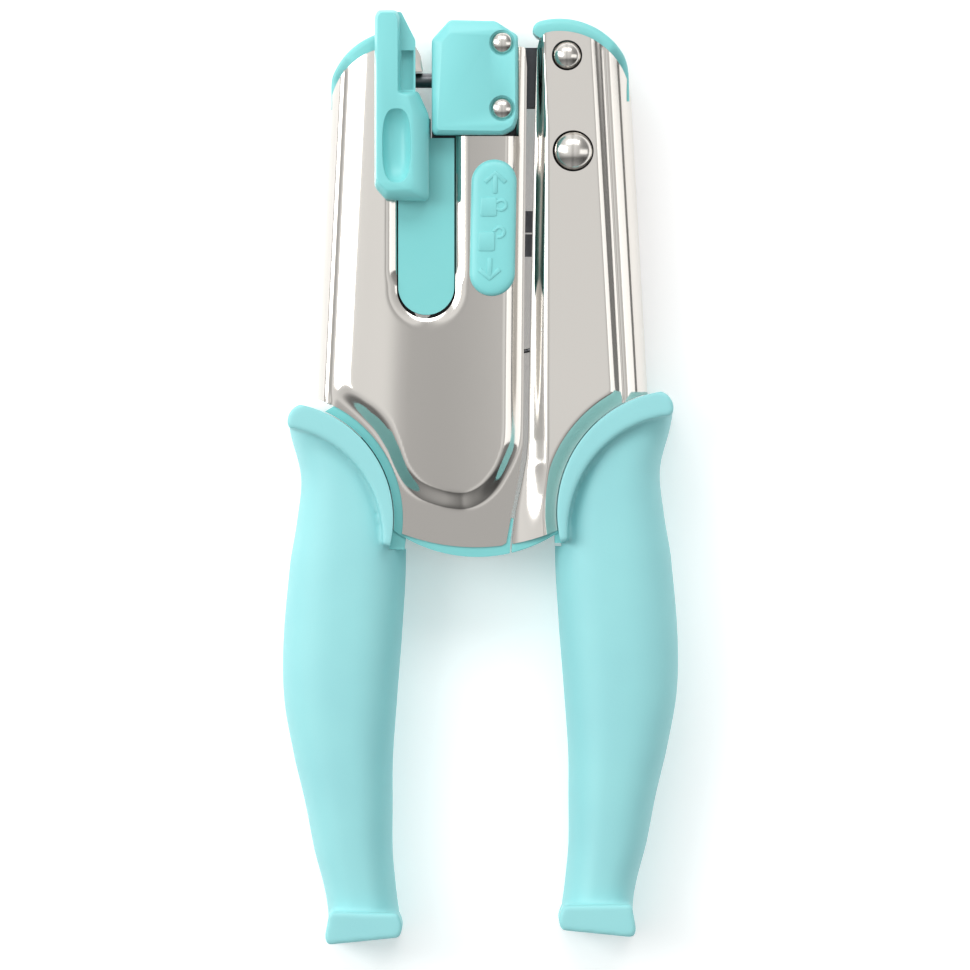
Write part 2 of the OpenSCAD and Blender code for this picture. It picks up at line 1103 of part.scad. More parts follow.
// Hooked tongue that reaches across the seam for the lock bolt
module lock_catch() {
    at = lever_posts[0];
    reach_x = finger_x[0] - slide_gap - 1.6;
    color("slategray")
        difference() {
            layer(-bolt_t / 2, bolt_t / 2)
                difference() {
                    union() {
                        translate([reach_x, catch_bottom])
                            square([at[0] - reach_x, 4.6]);
                        translate([finger_x[1] + slide_gap, at[1] - 2.4])
                            square([at[0] - finger_x[1] - slide_gap, 4.8]);
                        translate(at)
                            circle(3.4);
                    }
                    translate([finger_x[0] - slide_gap, catch_bottom - 1])
                        square([finger_x[1] - finger_x[0] + 2 * slide_gap, 3.6]);
                }
            post(at, rivet_d, -5, 5);
        }
}

module ram() {
    color("slategray")
        difference() {
            layer(-ram_out, ram_out)
                difference() {
                    union() {
                        translate([ram_x, ram_bottom])
                            square([yoke_l - ram_x, ram_h]);
                        translate([yoke_l - 4.6, drive[1] - bush_d / 2 - 3.2])
                            square([4.6, ram_top - drive[1] + bush_d / 2 + 3.2]);
                        translate([yoke_l - 4.6, drive[1] - bush_d / 2 - 3.2])
                            square([yoke_r + yoke_wall - yoke_l + 4.6,
                                bush_d + yoke_lift + 5.6]);
                    }
                    translate([yoke_l, drive[1] - bush_d / 2 - 0.7])
                        square([yoke_r - yoke_l, bush_d + yoke_lift + 0.7]);
                }
            translate([ram_x - 1, punch_y, mid_z])
                rotate([0, 90, 0])
                    cylinder(h = 9, d = punch_d);
            post([ram_x + 4, punch_y], 1.5, -10, 10);
        }
}

module punch_tip() {
    color("gray")
        difference() {
            translate([tip_x, punch_y, mid_z])
                rotate([0, 90, 0])
                    cylinder(h = ram_x + 8 - tip_x, d = punch_d);
            post([ram_x + 4, punch_y], 1.5, -10, 10);
        }
}

module punch_pin() {
    color("silver")
        post([ram_x + 4, punch_y], 1.5, -ram_out, ram_out);
}

// A stadium shape along Y
module stadium(w, l) {
    for (side = [-1, 1])
        translate([0, side * (l - w) / 2])
            circle(d = w);
    square([w, l - w], center = true);
}

module lock_button() {
    base = panel_out + slide_gap;
    color("mediumturquoise")
        difference() {
            union() {
                hull() {
                    $fn = 32;
                    layer(base, base + 1.1)
                        translate(button)
                            stadium(button_w, button_l);
                    layer(base + 1.9, base + 2)
                        translate(button)
                            stadium(button_w - 2.4, button_l - 2.4);
                }
                layer(bolt_t / 2, base + 0.1)
                    translate([stem[0] - stem_w / 2, stem[1] - stem_l / 2])
                        square([stem_w, stem_l]);
            }
            post(stem, 2, bolt_t / 2 - 1, 7);
        }
}

module lock_bolt() {
    color("slategray")
        difference() {
            layer(-bolt_t / 2, bolt_t / 2)
                union() {
                    translate([-1.6, 41])
                        square([finger_x[1] + 1.2, finger_top - 4.2 - 41 + 1.2]);
                    translate([finger_x[0], 41])
                        square([finger_x[1] - finger_x[0], finger_top - 41]);
                }
            post(stem, 2, -5, 5);
        }
}

module lock_screw() {
    color("silver")
        union() {
            post(stem, 2, -bolt_t / 2, 6.5);
            post(stem, 3.6, -bolt_t / 2 - 1.1, -bolt_t / 2);
        }
}

// Slot-wide bar, with the tongue that stops the paper in the throat
module depth_stop_bar() {
    color("turquoise")
        difference() {
            union() {
                layer(lever_in, bar_top)
                    intersection() {
                        union() {
                            translate([slot_x, bar_end_y + bar_w / 2])
                                circle(bar_w / 2);
                            translate([slot_x - bar_w / 2, bar_end_y + bar_w / 2])
                                square([bar_w, tongue_top - bar_end_y - bar_w / 2]);
                        }
                        union() {
                            translate([-60, 0])
                                square([120, bar_top_y]);
                            translate([-60, 0])
                                square([60 + stripper_x - 0.4, tongue_top]);
                        }
                    }
                layer(-lever_in, lever_in)
                    translate([throat_x - tongue_w / 2, tongue_bottom])
                        square([tongue_w, tongue_top - tongue_bottom]);
            }
            for (at = keeper_at)
                post(at, 1.6, -lever_in - 1, 2);
        }
}

keeper_at = [[throat_x, tongue_bottom + 3], [throat_x, bar_top_y - 3]];

module stop_keeper() {
    color("dimgray")
        on_back()
            difference() {
                layer(lever_in, lever_in + 1.2)
                    translate([throat_x - 5.4, tongue_bottom])
                        square([8.4, bar_top_y - tongue_bottom]);
                for (at = keeper_at)
                    post(at, 1.6, 0, 20);
            }
}

module keeper_screws() {
    color("silver")
        on_back()
            for (at = keeper_at)
                union() {
                    post(at, 1.6, -2, lever_in + 1.2);
                    post(at, 3, lever_in + 1.2, lever_in + 2.1);
                }
}

thumb_out = panel_out + 7.2;
thumb_base = panel_out + slide_gap;
thumb_x = [-22.6, -17.1];
foot_y = slot_end_y + slot_w / 2 + stop_travel + 0.5;
module thumb_slide() {
    color("mediumturquoise")
        difference() {
            union() {
                // tall rib that the thumb pushes
                layer(thumb_base, thumb_out)
                    polygon([[thumb_x[0], 62.6], [thumb_x[0] + 2.6, 59.4],
                        [stripper_x - 0.6, 59.4], [stripper_x - 0.6, 77.4],
                        [die_x + 0.8, 82.5], [thumb_x[1], 82.7], [thumb_x[1], 98.2],
                        [thumb_x[1] - 0.8, 100], [thumb_x[0] + 0.6, 100],
                        [thumb_x[0] - 0.4, 98.8]]);
                // lower front part of the rib, with its sloped edge
                layer(thumb_base, thumb_out - 3.4)
                    polygon([[thumb_x[1] - 1, 82], [die_x - 0.3, 82], [die_x - 0.3, 93.4],
                        [thumb_x[1] + 0.2, 99.8], [thumb_x[1] - 1, 99.8]]);
                // foot that joins the bar through the slot
                layer(bar_top, thumb_base)
                    translate([slot_x - bar_w / 2, foot_y])
                        square([stripper_x - 0.6 - slot_x + bar_w / 2, tongue_top - foot_y - 0.6]);
            }
            // scoop for the thumb
            hull() {
                $fn = 32;
                translate([thumb_x[0] + 5, 70, mid_z + thumb_out + 4.6])
                    sphere(6.4);
                translate([thumb_x[0] + 5, 76, mid_z + thumb_out + 4.6])
                    sphere(6.4);
            }
        }
}

// Grip: rings of points down a bent centre line
// Each station: share of the length, centre, half width and half thickness in shares
grip_path = [[0, 34.4, 0.29, 0.84], [0.05, 31.5, 0.38, 0.88], [0.14, 28.8, 0.39, 0.92],
    [0.22, 27.9, 0.456, 0.95], [0.30, 28.4, 0.498, 0.98], [0.45, 29.6, 0.508, 1],
    [0.56, 30, 0.484, 1], [0.67, 29.3, 0.422, 0.99], [0.75, 28.2, 0.376, 0.97],
    [0.84, 27.2, 0.336, 0.94], [0.92, 25.6, 0.306, 0.92], [0.97, 24.9, 0.308, 0.92]];

function ring_points(n, half_w, half_t, power) = [for (i = [0:n - 1])
    let (a = 360 * i / n, c = cos(a), s = sin(a))
    [half_w * sign(c) * pow(abs(c), power), half_t * sign(s) * pow(abs(s), power)]];

// Smooth value between four neighbouring stations
function blend4(p, t) = 0.5 * ((2 * p[1]) + (p[2] - p[0]) * t
    + (2 * p[0] - 5 * p[1] + 4 * p[2] - p[3]) * t * t
    + (3 * p[1] - p[0] - 3 * p[2] + p[3]) * t * t * t);

function station(k) = grip_path[min(max(k, 0), len(grip_path) - 1)];

function along(k, t) = blend4([for (i = [-1:2]) station(k + i)], t);

module grip_body() {
    sides = 20;
    steps = 2;
    rings = concat([for (k = [0:len(grip_path) - 2], j = [0:steps - 1]) along(k, j / steps)],
        [station(len(grip_path) - 1)]);
    shift = low_half - 35.5;
    points = [for (g = rings, p = ring_points(sides, grip_w * g[2], grip_t / 2 * g[3], 0.8))
        [g[1] + shift + p[0], shoulder_y - 1 - grip_l * g[0], mid_z + p[1]]];
    count = len(rings);
    polyhedron(points, concat([[for (i = [0:sides - 1]) i]],
        [for (k = [0:count - 2], i = [0:sides - 1])
            let (a = k * sides + i, b = k * sides + (i + 1) % sides)
            each [[a, a + sides, b], [b, a + sides, b + sides]]],
        [[for (i = [sides - 1:-1:0]) (count - 1) * sides + i]]));
}

// Whole right-hand grip, without its rise
module grip_shape(edge_at, edge_r) {
    shift = low_half - 35.5;
    end_y = shoulder_y - grip_l;
    difference() {
        union() {
            grip_body();
            // collar round the shoulder
            layer(-mid_z, mid_z)
                difference() {
                    intersection() {
                        translate(edge_at)
                            circle(edge_r);
                        polygon([[shift + 41.6, shoulder_y - 2.8], [shift + 38.4, shoulder_y - 1.6],
                            [shift + 32, shoulder_y + 1], [shift + 12, shoulder_y + 1],
                            [shift + 12, -16], [shift + 17.4, -16],
                            [shift + 40, shoulder_y - 9]]);
                    }
                    translate(edge_at + [1.6, -1.6])
                        circle(edge_r - 3.8);
                }
            // flared end
            hull() {
                layer(-mid_z + 1.4, mid_z - 1.4)
                    grip_foot(shift, end_y, 0);
                layer(-mid_z, mid_z)
                    grip_foot(shift, end_y, 1.2);
            }
        }
    }
}

module grip_foot(shift, end_y, inset) {
    polygon([[shift + 17.6 + inset, end_y + 4.9 - inset], [shift + 16.6 + inset, end_y + 1.6],
        [shift + 17.3 + inset, end_y - 0.6 + inset],
        [shift + 32.7 - inset, end_y - 2.3 + inset],
        [shift + 33.3 - inset, end_y - 0.6 + inset],
        [shift + 32.3 - inset, end_y + 4.9 - inset]]);
}

module left_grip() {
    color("paleturquoise")
        difference() {
            mirror([1, 0, 0])
                difference() {
                    grip_shape(shoulder, grip_edge_r);
                    layer(-40, 40)
                        above_shoulder(shoulder, grip_edge_r);
                }
            layer(-frame_out, frame_out)
                tang(-1);
        }
}

module right_grip() {
    color("paleturquoise")
        difference() {
            translate([0, grip_rise, 0])
                grip_shape(right_shoulder - [0, grip_rise], right_edge_r);
            layer(-40, 40)
                above_shoulder(right_shoulder, right_edge_r);
            layer(-lever_out, lever_out)
                tang(1);
        }
}

// Everything on the body side of a grip's round edge
module above_shoulder(at, r) {
    difference() {
        translate([-20, -20])
            square([low_half + 40, 60]);
        translate(at)
            circle(r);
    }
}

left_front_cover();
left_back_cover();
chassis();
frame_plate_front();
frame_plate_back();
frame_spacers();
frame_rivets();
left_grip();
punch_housing_front();
punch_housing_back();
housing_rivets();
punch_guide();
die_holder();
die_button();
die_rivets();
left_cover_screws();
return_spring();
lock_detent_spring();
stop_friction_spring();
pivot_bushes();
right_front_cover();
right_back_cover();
spine();
lever_plate_front();
lever_plate_back();
lever_spacers();
lever_rivets();
right_grip();
pivot_rivet();
drive_rivet();
drive_bush();
lock_catch();
right_cover_screws();
ram();
punch_tip();
punch_pin();
lock_button();
lock_bolt();
lock_screw();
depth_stop_bar();
thumb_slide();
stop_keeper();
keeper_screws();
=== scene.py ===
# %% [markdown]
# # A craft punch, dressed over its CAD frame
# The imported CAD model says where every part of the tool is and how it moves. This notebook
# builds the parts that the eye meets, with softer edges and finer curves, and lays each one
# on the body that it moves with. The CAD nodes inside the tool stay, and get a finish.
#
# All lengths in the helpers are millimetres. `w` is a height above the tool's middle plane,
# which lies 13 mm over the table, so that a shape and its mirror on the back share numbers.

# %% Load the frame
import bpy, bmesh, json, math
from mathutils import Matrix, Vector


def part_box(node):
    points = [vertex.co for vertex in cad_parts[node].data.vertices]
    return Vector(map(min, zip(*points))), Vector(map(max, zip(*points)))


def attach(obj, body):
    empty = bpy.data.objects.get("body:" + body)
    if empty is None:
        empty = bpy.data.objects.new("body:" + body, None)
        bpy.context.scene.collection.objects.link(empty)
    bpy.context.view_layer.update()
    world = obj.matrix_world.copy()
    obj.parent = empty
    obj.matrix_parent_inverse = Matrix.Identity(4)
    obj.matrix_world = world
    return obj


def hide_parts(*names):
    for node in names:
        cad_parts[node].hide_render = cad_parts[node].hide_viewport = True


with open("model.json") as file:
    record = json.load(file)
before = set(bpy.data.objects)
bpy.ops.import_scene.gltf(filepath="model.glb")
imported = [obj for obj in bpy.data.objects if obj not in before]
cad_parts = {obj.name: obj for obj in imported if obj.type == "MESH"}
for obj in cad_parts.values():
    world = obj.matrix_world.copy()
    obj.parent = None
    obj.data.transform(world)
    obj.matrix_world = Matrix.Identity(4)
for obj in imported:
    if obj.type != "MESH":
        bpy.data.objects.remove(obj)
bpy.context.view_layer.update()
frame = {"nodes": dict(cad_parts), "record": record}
MM, MID = 0.001, 13.0      # metres in a millimetre, and the middle plane in millimetres

# %% [markdown]
# ## Handling objects
# Modifiers are applied at once: a finished piece is plain mesh, at the origin, unturned and
# unscaled.

# %% Select, apply, combine and join
def only(obj):
    """Select this object and nothing else."""
    if bpy.context.object and bpy.context.object.mode != "OBJECT":
        bpy.ops.object.mode_set(mode="OBJECT")
    bpy.ops.object.select_all(action="DESELECT")
    obj.select_set(True)
    bpy.context.view_layer.objects.active = obj
    return obj


def apply(obj, kind, **settings):
    """Add one modifier, set it, and make it part of the mesh."""
    only(obj)
    mod = obj.modifiers.new(kind.lower(), kind)
    for key, value in settings.items():
        setattr(mod, key, value)
    bpy.ops.object.modifier_apply(modifier=mod.name)
    return obj


def smooth(obj, angle=35):
    """Shade smooth, but keep edges sharper than the angle crisp."""
    only(obj)
    bpy.ops.object.shade_smooth_by_angle(angle=math.radians(angle))
    return obj


def soften(obj, width, segments=3, angle=30):
    """Round off the edges that are sharper than the angle."""
    apply(obj, "BEVEL", width=width * MM, segments=segments, limit_method="ANGLE",
          angle_limit=math.radians(angle), use_clamp_overlap=True)
    return smooth(obj)


def combine(obj, other, how="DIFFERENCE"):
    """Cut with, add or keep the overlap with another object, which is used up."""
    apply(obj, "BOOLEAN", object=other, operation=how, solver="EXACT")
    bpy.data.objects.remove(other)
    return obj


def join(name, *objs):
    """Make one object of several, without merging them."""
    only(objs[0])
    for obj in objs[1:]:
        obj.select_set(True)
    bpy.ops.object.join()
    objs[0].name = name
    return objs[0]


def edit_all(obj, *steps):
    """Select the whole mesh in edit mode and run the steps on it."""
    only(obj)
    bpy.ops.object.mode_set(mode="EDIT")
    bpy.ops.mesh.select_all(action="SELECT")
    for step in steps:
        step()
    bpy.ops.object.mode_set(mode="OBJECT")
    return obj


def face_out():
    bpy.ops.mesh.normals_make_consistent(inside=False)


print("object helpers ready")

# %% [markdown]
# ## Outlines and curves
# Sheet metal and mouldings are drawn in plan before they are given height. An outline here is
# a list of points. Tables hold the few measured places of a long edge, and are read as a
# straight line between rows or as a smooth curve, where the eye follows a highlight.

# %% Outlines
def arc(cx, cy, r, a0, a1, n=24):
    """Points on a circle from angle a0 to a1, in degrees."""
    return [(cx + r * math.cos(math.radians(a0 + (a1 - a0) * i / n)),
             cy + r * math.sin(math.radians(a0 + (a1 - a0) * i / n))) for i in range(n + 1)]


def rounded(points, radius, n=5):
    """An outline with its corners rounded."""
    out = []
    count = len(points)
    for i, q in enumerate(points):
        p, s = points[i - 1], points[(i + 1) % count]
        a = (p[0] - q[0], p[1] - q[1])
        b = (s[0] - q[0], s[1] - q[1])
        la, lb = math.hypot(*a), math.hypot(*b)
        cut = min(radius, 0.45 * la, 0.45 * lb)
        for k in range(n + 1):
            u, v = (1 - k / n) ** 2, (k / n) ** 2
            out.append((q[0] + (a[0] / la * u + b[0] / lb * v) * cut,
                        q[1] + (a[1] / la * u + b[1] / lb * v) * cut))
    return out


print("a quarter circle has", len(arc(0, 0, 1, 0, 90)), "points")

# %% Tables and slopes
def table(rows, at):
    """Straight-line value between the rows of a table."""
    if at <= rows[0][0]:
        return rows[0][1]
    for (a, p), (b, q) in zip(rows, rows[1:]):
        if at <= b:
            return p + (q - p) * (at - a) / (b - a)
    return rows[-1][1]


def curve(rows, at):
    """A smooth curve through the rows of a table: its value and its slope."""
    at = max(rows[0][0], min(rows[-1][0], at))
    k = max(i for i in range(len(rows) - 1) if rows[i][0] <= at)
    tilt = []
    for i in (k, k + 1):
        a, b = rows[max(i - 1, 0)], rows[min(i + 1, len(rows) - 1)]
        tilt.append((b[1] - a[1]) / (b[0] - a[0]))
    span = rows[k + 1][0] - rows[k][0]
    t = (at - rows[k][0]) / span
    value = (rows[k][1] * (2 * t ** 3 - 3 * t * t + 1)
             + rows[k + 1][1] * (3 * t * t - 2 * t ** 3)
             + span * (tilt[0] * (t ** 3 - 2 * t * t + t) + tilt[1] * (t ** 3 - t * t)))
    return value, tilt[0] + (tilt[1] - tilt[0]) * t


def ease(t):
    """A step from 0 to 1 that starts and ends gently."""
    t = max(0.0, min(1.0, t))
    return t * t * (3 - 2 * t)


def least(*values, k=0.10):
    """A soft minimum, so that two slopes meet in a round. k sets how wide it is."""
    low = min(values)
    return low - k * math.log(sum(math.exp((low - v) / k) for v in values))


print("half a step is", ease(0.5))

# %% [markdown]
# ## Solids
# Three ways to a body: a prism, raised from an outline by one extrusion; a loft, a skin over
# rings that change along the way; and a dome, half a ball pressed flat, for rivet heads. The
# back of this tool repeats its front, so a piece can also be copied through the middle plane.

# %% Prism, loft, dome and mirror
def prism(name, outline, low, high):
    """A closed outline, raised from low to high."""
    bpy.ops.mesh.primitive_circle_add(vertices=len(outline), fill_type="NGON")
    obj = bpy.context.object
    obj.name = name
    area = sum(a[0] * b[1] - b[0] * a[1] for a, b in zip(outline, outline[1:] + outline[:1]))
    points = outline if area > 0 else outline[::-1]
    for vert, (x, y) in zip(obj.data.vertices, points):
        vert.co = (x * MM, y * MM, (MID + low) * MM)

    def raise_it():
        rise = (0, 0, (high - low) * MM)
        bpy.ops.mesh.extrude_region_move(TRANSFORM_OT_translate={"value": rise})
        bpy.ops.mesh.select_all(action="SELECT")

    return edit_all(obj, raise_it, face_out)


def loft(name, rings):
    """A skin over closed rings of equally many points, with flat ends."""
    bm = bmesh.new()
    rows = [[bm.verts.new((x * MM, y * MM, (MID + w) * MM)) for x, y, w in ring]
            for ring in rings]
    n = len(rings[0])
    for a, b in zip(rows, rows[1:]):
        for i in range(n):
            bm.faces.new((a[i], a[(i + 1) % n], b[(i + 1) % n], b[i]))
    bm.faces.new(rows[0][::-1])
    bm.faces.new(rows[-1])
    bmesh.ops.recalc_face_normals(bm, faces=bm.faces)
    mesh = bpy.data.meshes.new(name)
    bm.to_mesh(mesh)
    bm.free()
    obj = bpy.data.objects.new(name, mesh)
    bpy.context.collection.objects.link(obj)
    return obj


def dome(name, at, radius, foot, rise):
    """A rivet head: half a ball, flattened, on its foot."""
    bpy.ops.mesh.primitive_uv_sphere_add(segments=48, ring_count=24, radius=1)
    obj = bpy.context.object
    obj.name = name
    for vert in obj.data.vertices:
        x, y, z = vert.co
        vert.co = ((at[0] + radius * x) * MM, (at[1] + radius * y) * MM,
                   (MID + foot + (rise * z if z > 0 else 0.6 * z)) * MM)
    only(obj)
    bpy.ops.object.shade_smooth()
    return obj


def flip_back(obj, name):
    """A mirrored copy on the back of the tool. Mirroring turns the faces, so they go back."""
    only(obj)
    bpy.ops.object.duplicate()
    copy = bpy.context.object
    copy.name = name
    for vert in copy.data.vertices:
        vert.co.z = 2 * MID * MM - vert.co.z
    return edit_all(copy, bpy.ops.mesh.flip_normals)


print("solid helpers ready")

# %% [markdown]
# ## Materials
# Every finish is a small node tree: a noise in object coordinates lifts the surface a little,
# a slower one varies the gloss, and for mouldings a third drifts between two near colours.
# Object coordinates keep each pattern at its real size on every piece. Colours are written as
# the eye sees them, and one function turns them into the linear values that shading needs.
# A noise scale of 1000 has lumps about a millimetre wide, since the scene is in metres.

# %% Colour and node helpers
def colour(text):
    """An sRGB hex colour as linear values."""
    parts = [int(text[i:i + 2], 16) / 255 for i in (0, 2, 4)]
    return tuple(c / 12.92 if c <= 0.04045 else ((c + 0.055) / 1.055) ** 2.4
                 for c in parts) + (1.0,)


def add(tree, kind, settings=None, inputs=None, links=None):
    """One shader node, with its settings, its input values and what feeds it."""
    made = tree.nodes.new(kind)
    for key, value in (settings or {}).items():
        setattr(made, key, value)
    for key, value in (inputs or {}).items():
        made.inputs[key].default_value = value
    for key, source in (links or {}).items():
        tree.links.new(source, made.inputs[key])
    return made


print("the teal of the grips is", colour("90d0d4"))

# %% The common node tree
def material(name, base, metallic, rough, bump, scale, rough_swing=0.0, tint=None,
             spec=0.5, stretch=(1, 1, 1), under=0.0):
    mat = bpy.data.materials.new(name)
    mat.use_nodes = True
    tree = mat.node_tree
    tree.nodes.clear()
    place = add(tree, "ShaderNodeTexCoord").outputs["Object"]
    scaled = add(tree, "ShaderNodeMapping", inputs={"Scale": stretch}, links={"Vector": place})
    grain = add(tree, "ShaderNodeTexNoise",
                inputs={"Scale": scale, "Detail": 4.0, "Roughness": 0.55},
                links={"Vector": scaled.outputs["Vector"]})
    lumps = add(tree, "ShaderNodeBump", inputs={"Strength": bump, "Distance": 0.0002},
                links={"Height": grain.outputs["Fac"]})
    shader = add(tree, "ShaderNodeBsdfPrincipled",
                 inputs={"Base Color": colour(base), "Metallic": metallic, "Roughness": rough,
                         "Specular IOR Level": spec},
                 links={"Normal": lumps.outputs["Normal"]})
    if under:      # light that enters a moulding and comes out a little further on
        shader.inputs["Subsurface Weight"].default_value = under
        shader.inputs["Subsurface Radius"].default_value = (0.6, 1.0, 1.0)
        shader.inputs["Subsurface Scale"].default_value = 0.002
    if rough_swing:
        worn = add(tree, "ShaderNodeTexNoise", inputs={"Scale": scale * 0.12, "Detail": 3.0},
                   links={"Vector": place})
        span = add(tree, "ShaderNodeMapRange",
                   inputs={"To Min": rough - rough_swing, "To Max": rough + rough_swing},
                   links={"Value": worn.outputs["Fac"]})
        tree.links.new(span.outputs["Result"], shader.inputs["Roughness"])
    if tint:
        patch = add(tree, "ShaderNodeTexNoise", inputs={"Scale": 60.0, "Detail": 2.0},
                    links={"Vector": place})
        blend = add(tree, "ShaderNodeMix", settings={"data_type": "RGBA"},
                    inputs={6: colour(base), 7: colour(tint)},
                    links={0: patch.outputs["Fac"]})
        tree.links.new(blend.outputs[2], shader.inputs["Base Color"])
    add(tree, "ShaderNodeOutputMaterial", links={"Surface": shader.outputs["BSDF"]})
    return mat


print("material helper ready")

# %% [markdown]
# ## The finishes
# Steel sheet is pressed, polished and nickel-plated, so it mirrors the room, with a waviness
# from the press that shows only in its reflections. The jaws and the slide are gloss ABS, the
# cores a duller ABS, and the grips a soft-touch moulding. Plates inside are oiled or ground.

# %% Finishes
FINISH = {
    # nickel-plated steel sheet, polished: lumps of 11 mm, the faint waviness of pressing
    "bright_steel": material("nickel_plated_steel", "d9d5cf", 1.0, 0.11, 0.05, 90.0, 0.03),
    # nickel-plated rivets and screws, tumbled, so a little duller than the sheet
    "rivet_steel": material("nickel_plated_rivets", "dcd8d2", 1.0, 0.2, 0.12, 260.0, 0.05),
    # gloss ABS of the jaws, the slide and the lock button, with a fine mould texture
    "teal_gloss": material("teal_abs_gloss", "7fd2d3", 0.0, 0.34, 0.05, 900.0, 0.05,
                           tint="86d6d6", under=0.05),
    # moulded ABS of the body cores and the stop bar
    "teal_core": material("teal_abs_core", "7acccc", 0.0, 0.4, 0.05, 700.0, 0.05,
                          tint="82d0cf", under=0.05),
    # soft-touch grips: no sharp highlight, and a grain of 0.7 mm that is only just seen
    "soft_grip": material("teal_soft_touch", "90d0d4", 0.0, 0.52, 0.10, 1400.0, 0.05,
                          tint="98dadb", under=0.08),
    # blanked plate inside the body, oiled, with the rolling direction along it
    "dark_steel": material("oiled_steel_plate", "55575a", 1.0, 0.42, 0.25, 500.0, 0.08,
                           stretch=(1, 8, 1)),
    # ground tool steel of the ram, the punch and the die, with grinding lines across
    "tool_steel": material("ground_tool_steel", "85868a", 1.0, 0.34, 0.3, 900.0, 0.06,
                           stretch=(6, 1, 1)),
    # spring wire and leaf
    "spring_steel": material("spring_steel_wire", "9b9da1", 1.0, 0.3, 0.1, 500.0, 0.05),
    # bearing bronze
    "bush_brass": material("bearing_bronze", "b98c4a", 1.0, 0.35, 0.1, 500.0, 0.05),
}
SLOT_OF = {s["node"]: s["material_slot"] for s in frame["record"]["subparts"]}
for n, obj in frame["nodes"].items():
    obj.data.materials.clear()
    obj.data.materials.append(FINISH[SLOT_OF[n]])
print(len(FINISH), "finishes on", len(frame["nodes"]), "CAD nodes")

# %% [markdown]
# ## Putting a piece on its body
# A new piece takes the body and the finish of the first CAD node that it stands for. The
# nodes themselves are hidden only at the end, because some are measured on the way.

# %% Finish a piece
HOME = {}
for body, nodes in frame["record"]["behaviour"]["bodies"].items():
    for n in nodes:
        HOME[n] = body
PIECES = []


def finish_piece(obj, nodes):
    """Dress a finished piece, and let it stand for its CAD nodes."""
    slot = SLOT_OF[nodes[0]]
    obj.data.materials.clear()
    obj.data.materials.append(FINISH[slot])
    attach(obj, HOME[nodes[0]])
    PIECES.append((obj, nodes))
    return obj


# %% [markdown]
# ## The pressed steel covers
# Each half of the tool is wrapped by a front and a back cover, stamped from sheet: a raised
# panel with soft slopes, a dished slot for the stop bar, and an outer side that rolls down.
# Modelling that as a box with bevels would lose the long reflections. So it is made as in
# the works: a flat blank with a fine grid is cut while it is flat, and then pressed, which
# gives each point its place in plan and its height. Cutting first also keeps the cuts clean.
#
# First come the sizes: heights of the rim and the panel, and where the edges run.

# %% Edges of the covers
RIM, PANEL, SHEET = 8.2, 10.7, 0.8
ROLL = 10.0                        # how much of the flat blank turns down to make the side
BAND_L, BAND_R = 3.0, 5.3          # how wide the rolled side is in plan
SHOULDER, SHOULDER_R = (-43.5, -8.5), 26.9
RIGHT_SHOULDER, RIGHT_SHOULDER_R = (42.6, -7.3), 26.4
HINGE, HINGE_HOLE = (18.5, 90.5), 3.25
DRIVE, DRIVE_HOLE = (19.8, 70.05), 4.4
SIDE_L = [(-20, -35.5), (17.7, -35.4), (79, -32.3), (95, -31.5)]
SIDE_R = [(-20, 35.9), (19, 35.9), (80, 32.5), (96, 31.6)]
SEAM_L = [(-16, 4.9), (-13.8, 5.5), (-6.8, 6.8), (0.75, 8.3), (7, 9.1), (40, 9.4),
          (92.3, 10.0)]
SEAM_R = [(-16, 6.3), (-13.2, 6.75), (-6.8, 7.6), (-0.75, 8.9), (4, 9.8), (8.3, 10.2),
          (38.3, 10.8), (70.4, 11.5), (92, 12.0), (97, 12.1)]
# inner edge of the right panel
FLAT_R = [(-16, 15.8), (-3.5, 15.3), (2.9, 14.0), (75, 14.0), (90, 13.2), (97, 13.0)]
# foot of the slope that runs from the left shoulder round the bottom of the panel
BOWL = [(-36.5, 18.6), (-34.0, 17.7), (-30.6, 16.2), (-27.4, 13.9), (-24.3, 11.1),
        (-21.8, 8.1), (-19.4, 4.0), (-17.7, 0.3), (-15.8, -2.7), (-13.2, -4.7), (-10.2, -5.9),
        (-6.5, -6.8), (-2.9, -6.9), (0.5, -5.6), (3.5, -3.1), (5.8, 0.4), (7.8, 4.2),
        (10.5, 10.0)]
print("left cover is", table(SEAM_L, 40) - table(SIDE_L, 40), "mm wide at mid height")

# %% [markdown]
# The height of a panel is a race between slopes: each slope says how far up it would be at a
# point, and the soft minimum of them all wins. Small terms then crown the panel, bend its
# flank and press a thin line along it, since a dead flat mirror looks false.

# %% Height of the left cover
SLOT_X, SLOT_END, SLOT_R = -11.6, 40.5, 6.3      # centre line, centre of the round end, radius
DISH = 2.6                                       # width of the dished edge


def slot_gap(x, y):
    """Distance from the edge of the slot, which is round at its lower end."""
    return math.hypot(x - SLOT_X, y - max(SLOT_END, min(y, 90))) - SLOT_R


def left_height(x, y, face):
    """face is "top", "under", or False on the back, which has no wide slot."""
    side = table(SIDE_L, y)
    foot, slope = curve(BOWL, x)
    q = least((x - side - 2.6) / 4.6, (table(SEAM_L, y) - 0.2 - x) / 3.9,
              (y - foot) / math.hypot(1, slope) / 4.2, k=0.14)
    w = RIM + (PANEL - RIM) * ease(q)
    swell = max(0.0, min(1.0, (side + 20.0 - x) / 16.0))
    lower = max(0.0, (26 - y) / 40)
    w -= ease(q) * (1.7 * swell ** 2 + 1.1 * lower ** 2 + 0.25 * ((x + 8) / 18) ** 2)
    w -= 0.10 * math.exp(-((x - side - 3.2) / 0.7) ** 2)
    gap = slot_gap(x, y)
    if face and gap < DISH:
        # dished beside the bar, and only thinned where the bar goes under
        deep = 0.75 * ease((y - 41) / 4) + (0.55 if face == "top" else 0)
        w -= (1 - max(gap, 0) / DISH) ** 2 * deep
    return w


print("panel stands at", round(left_height(0, 30, "top"), 2), "mm over the middle plane")

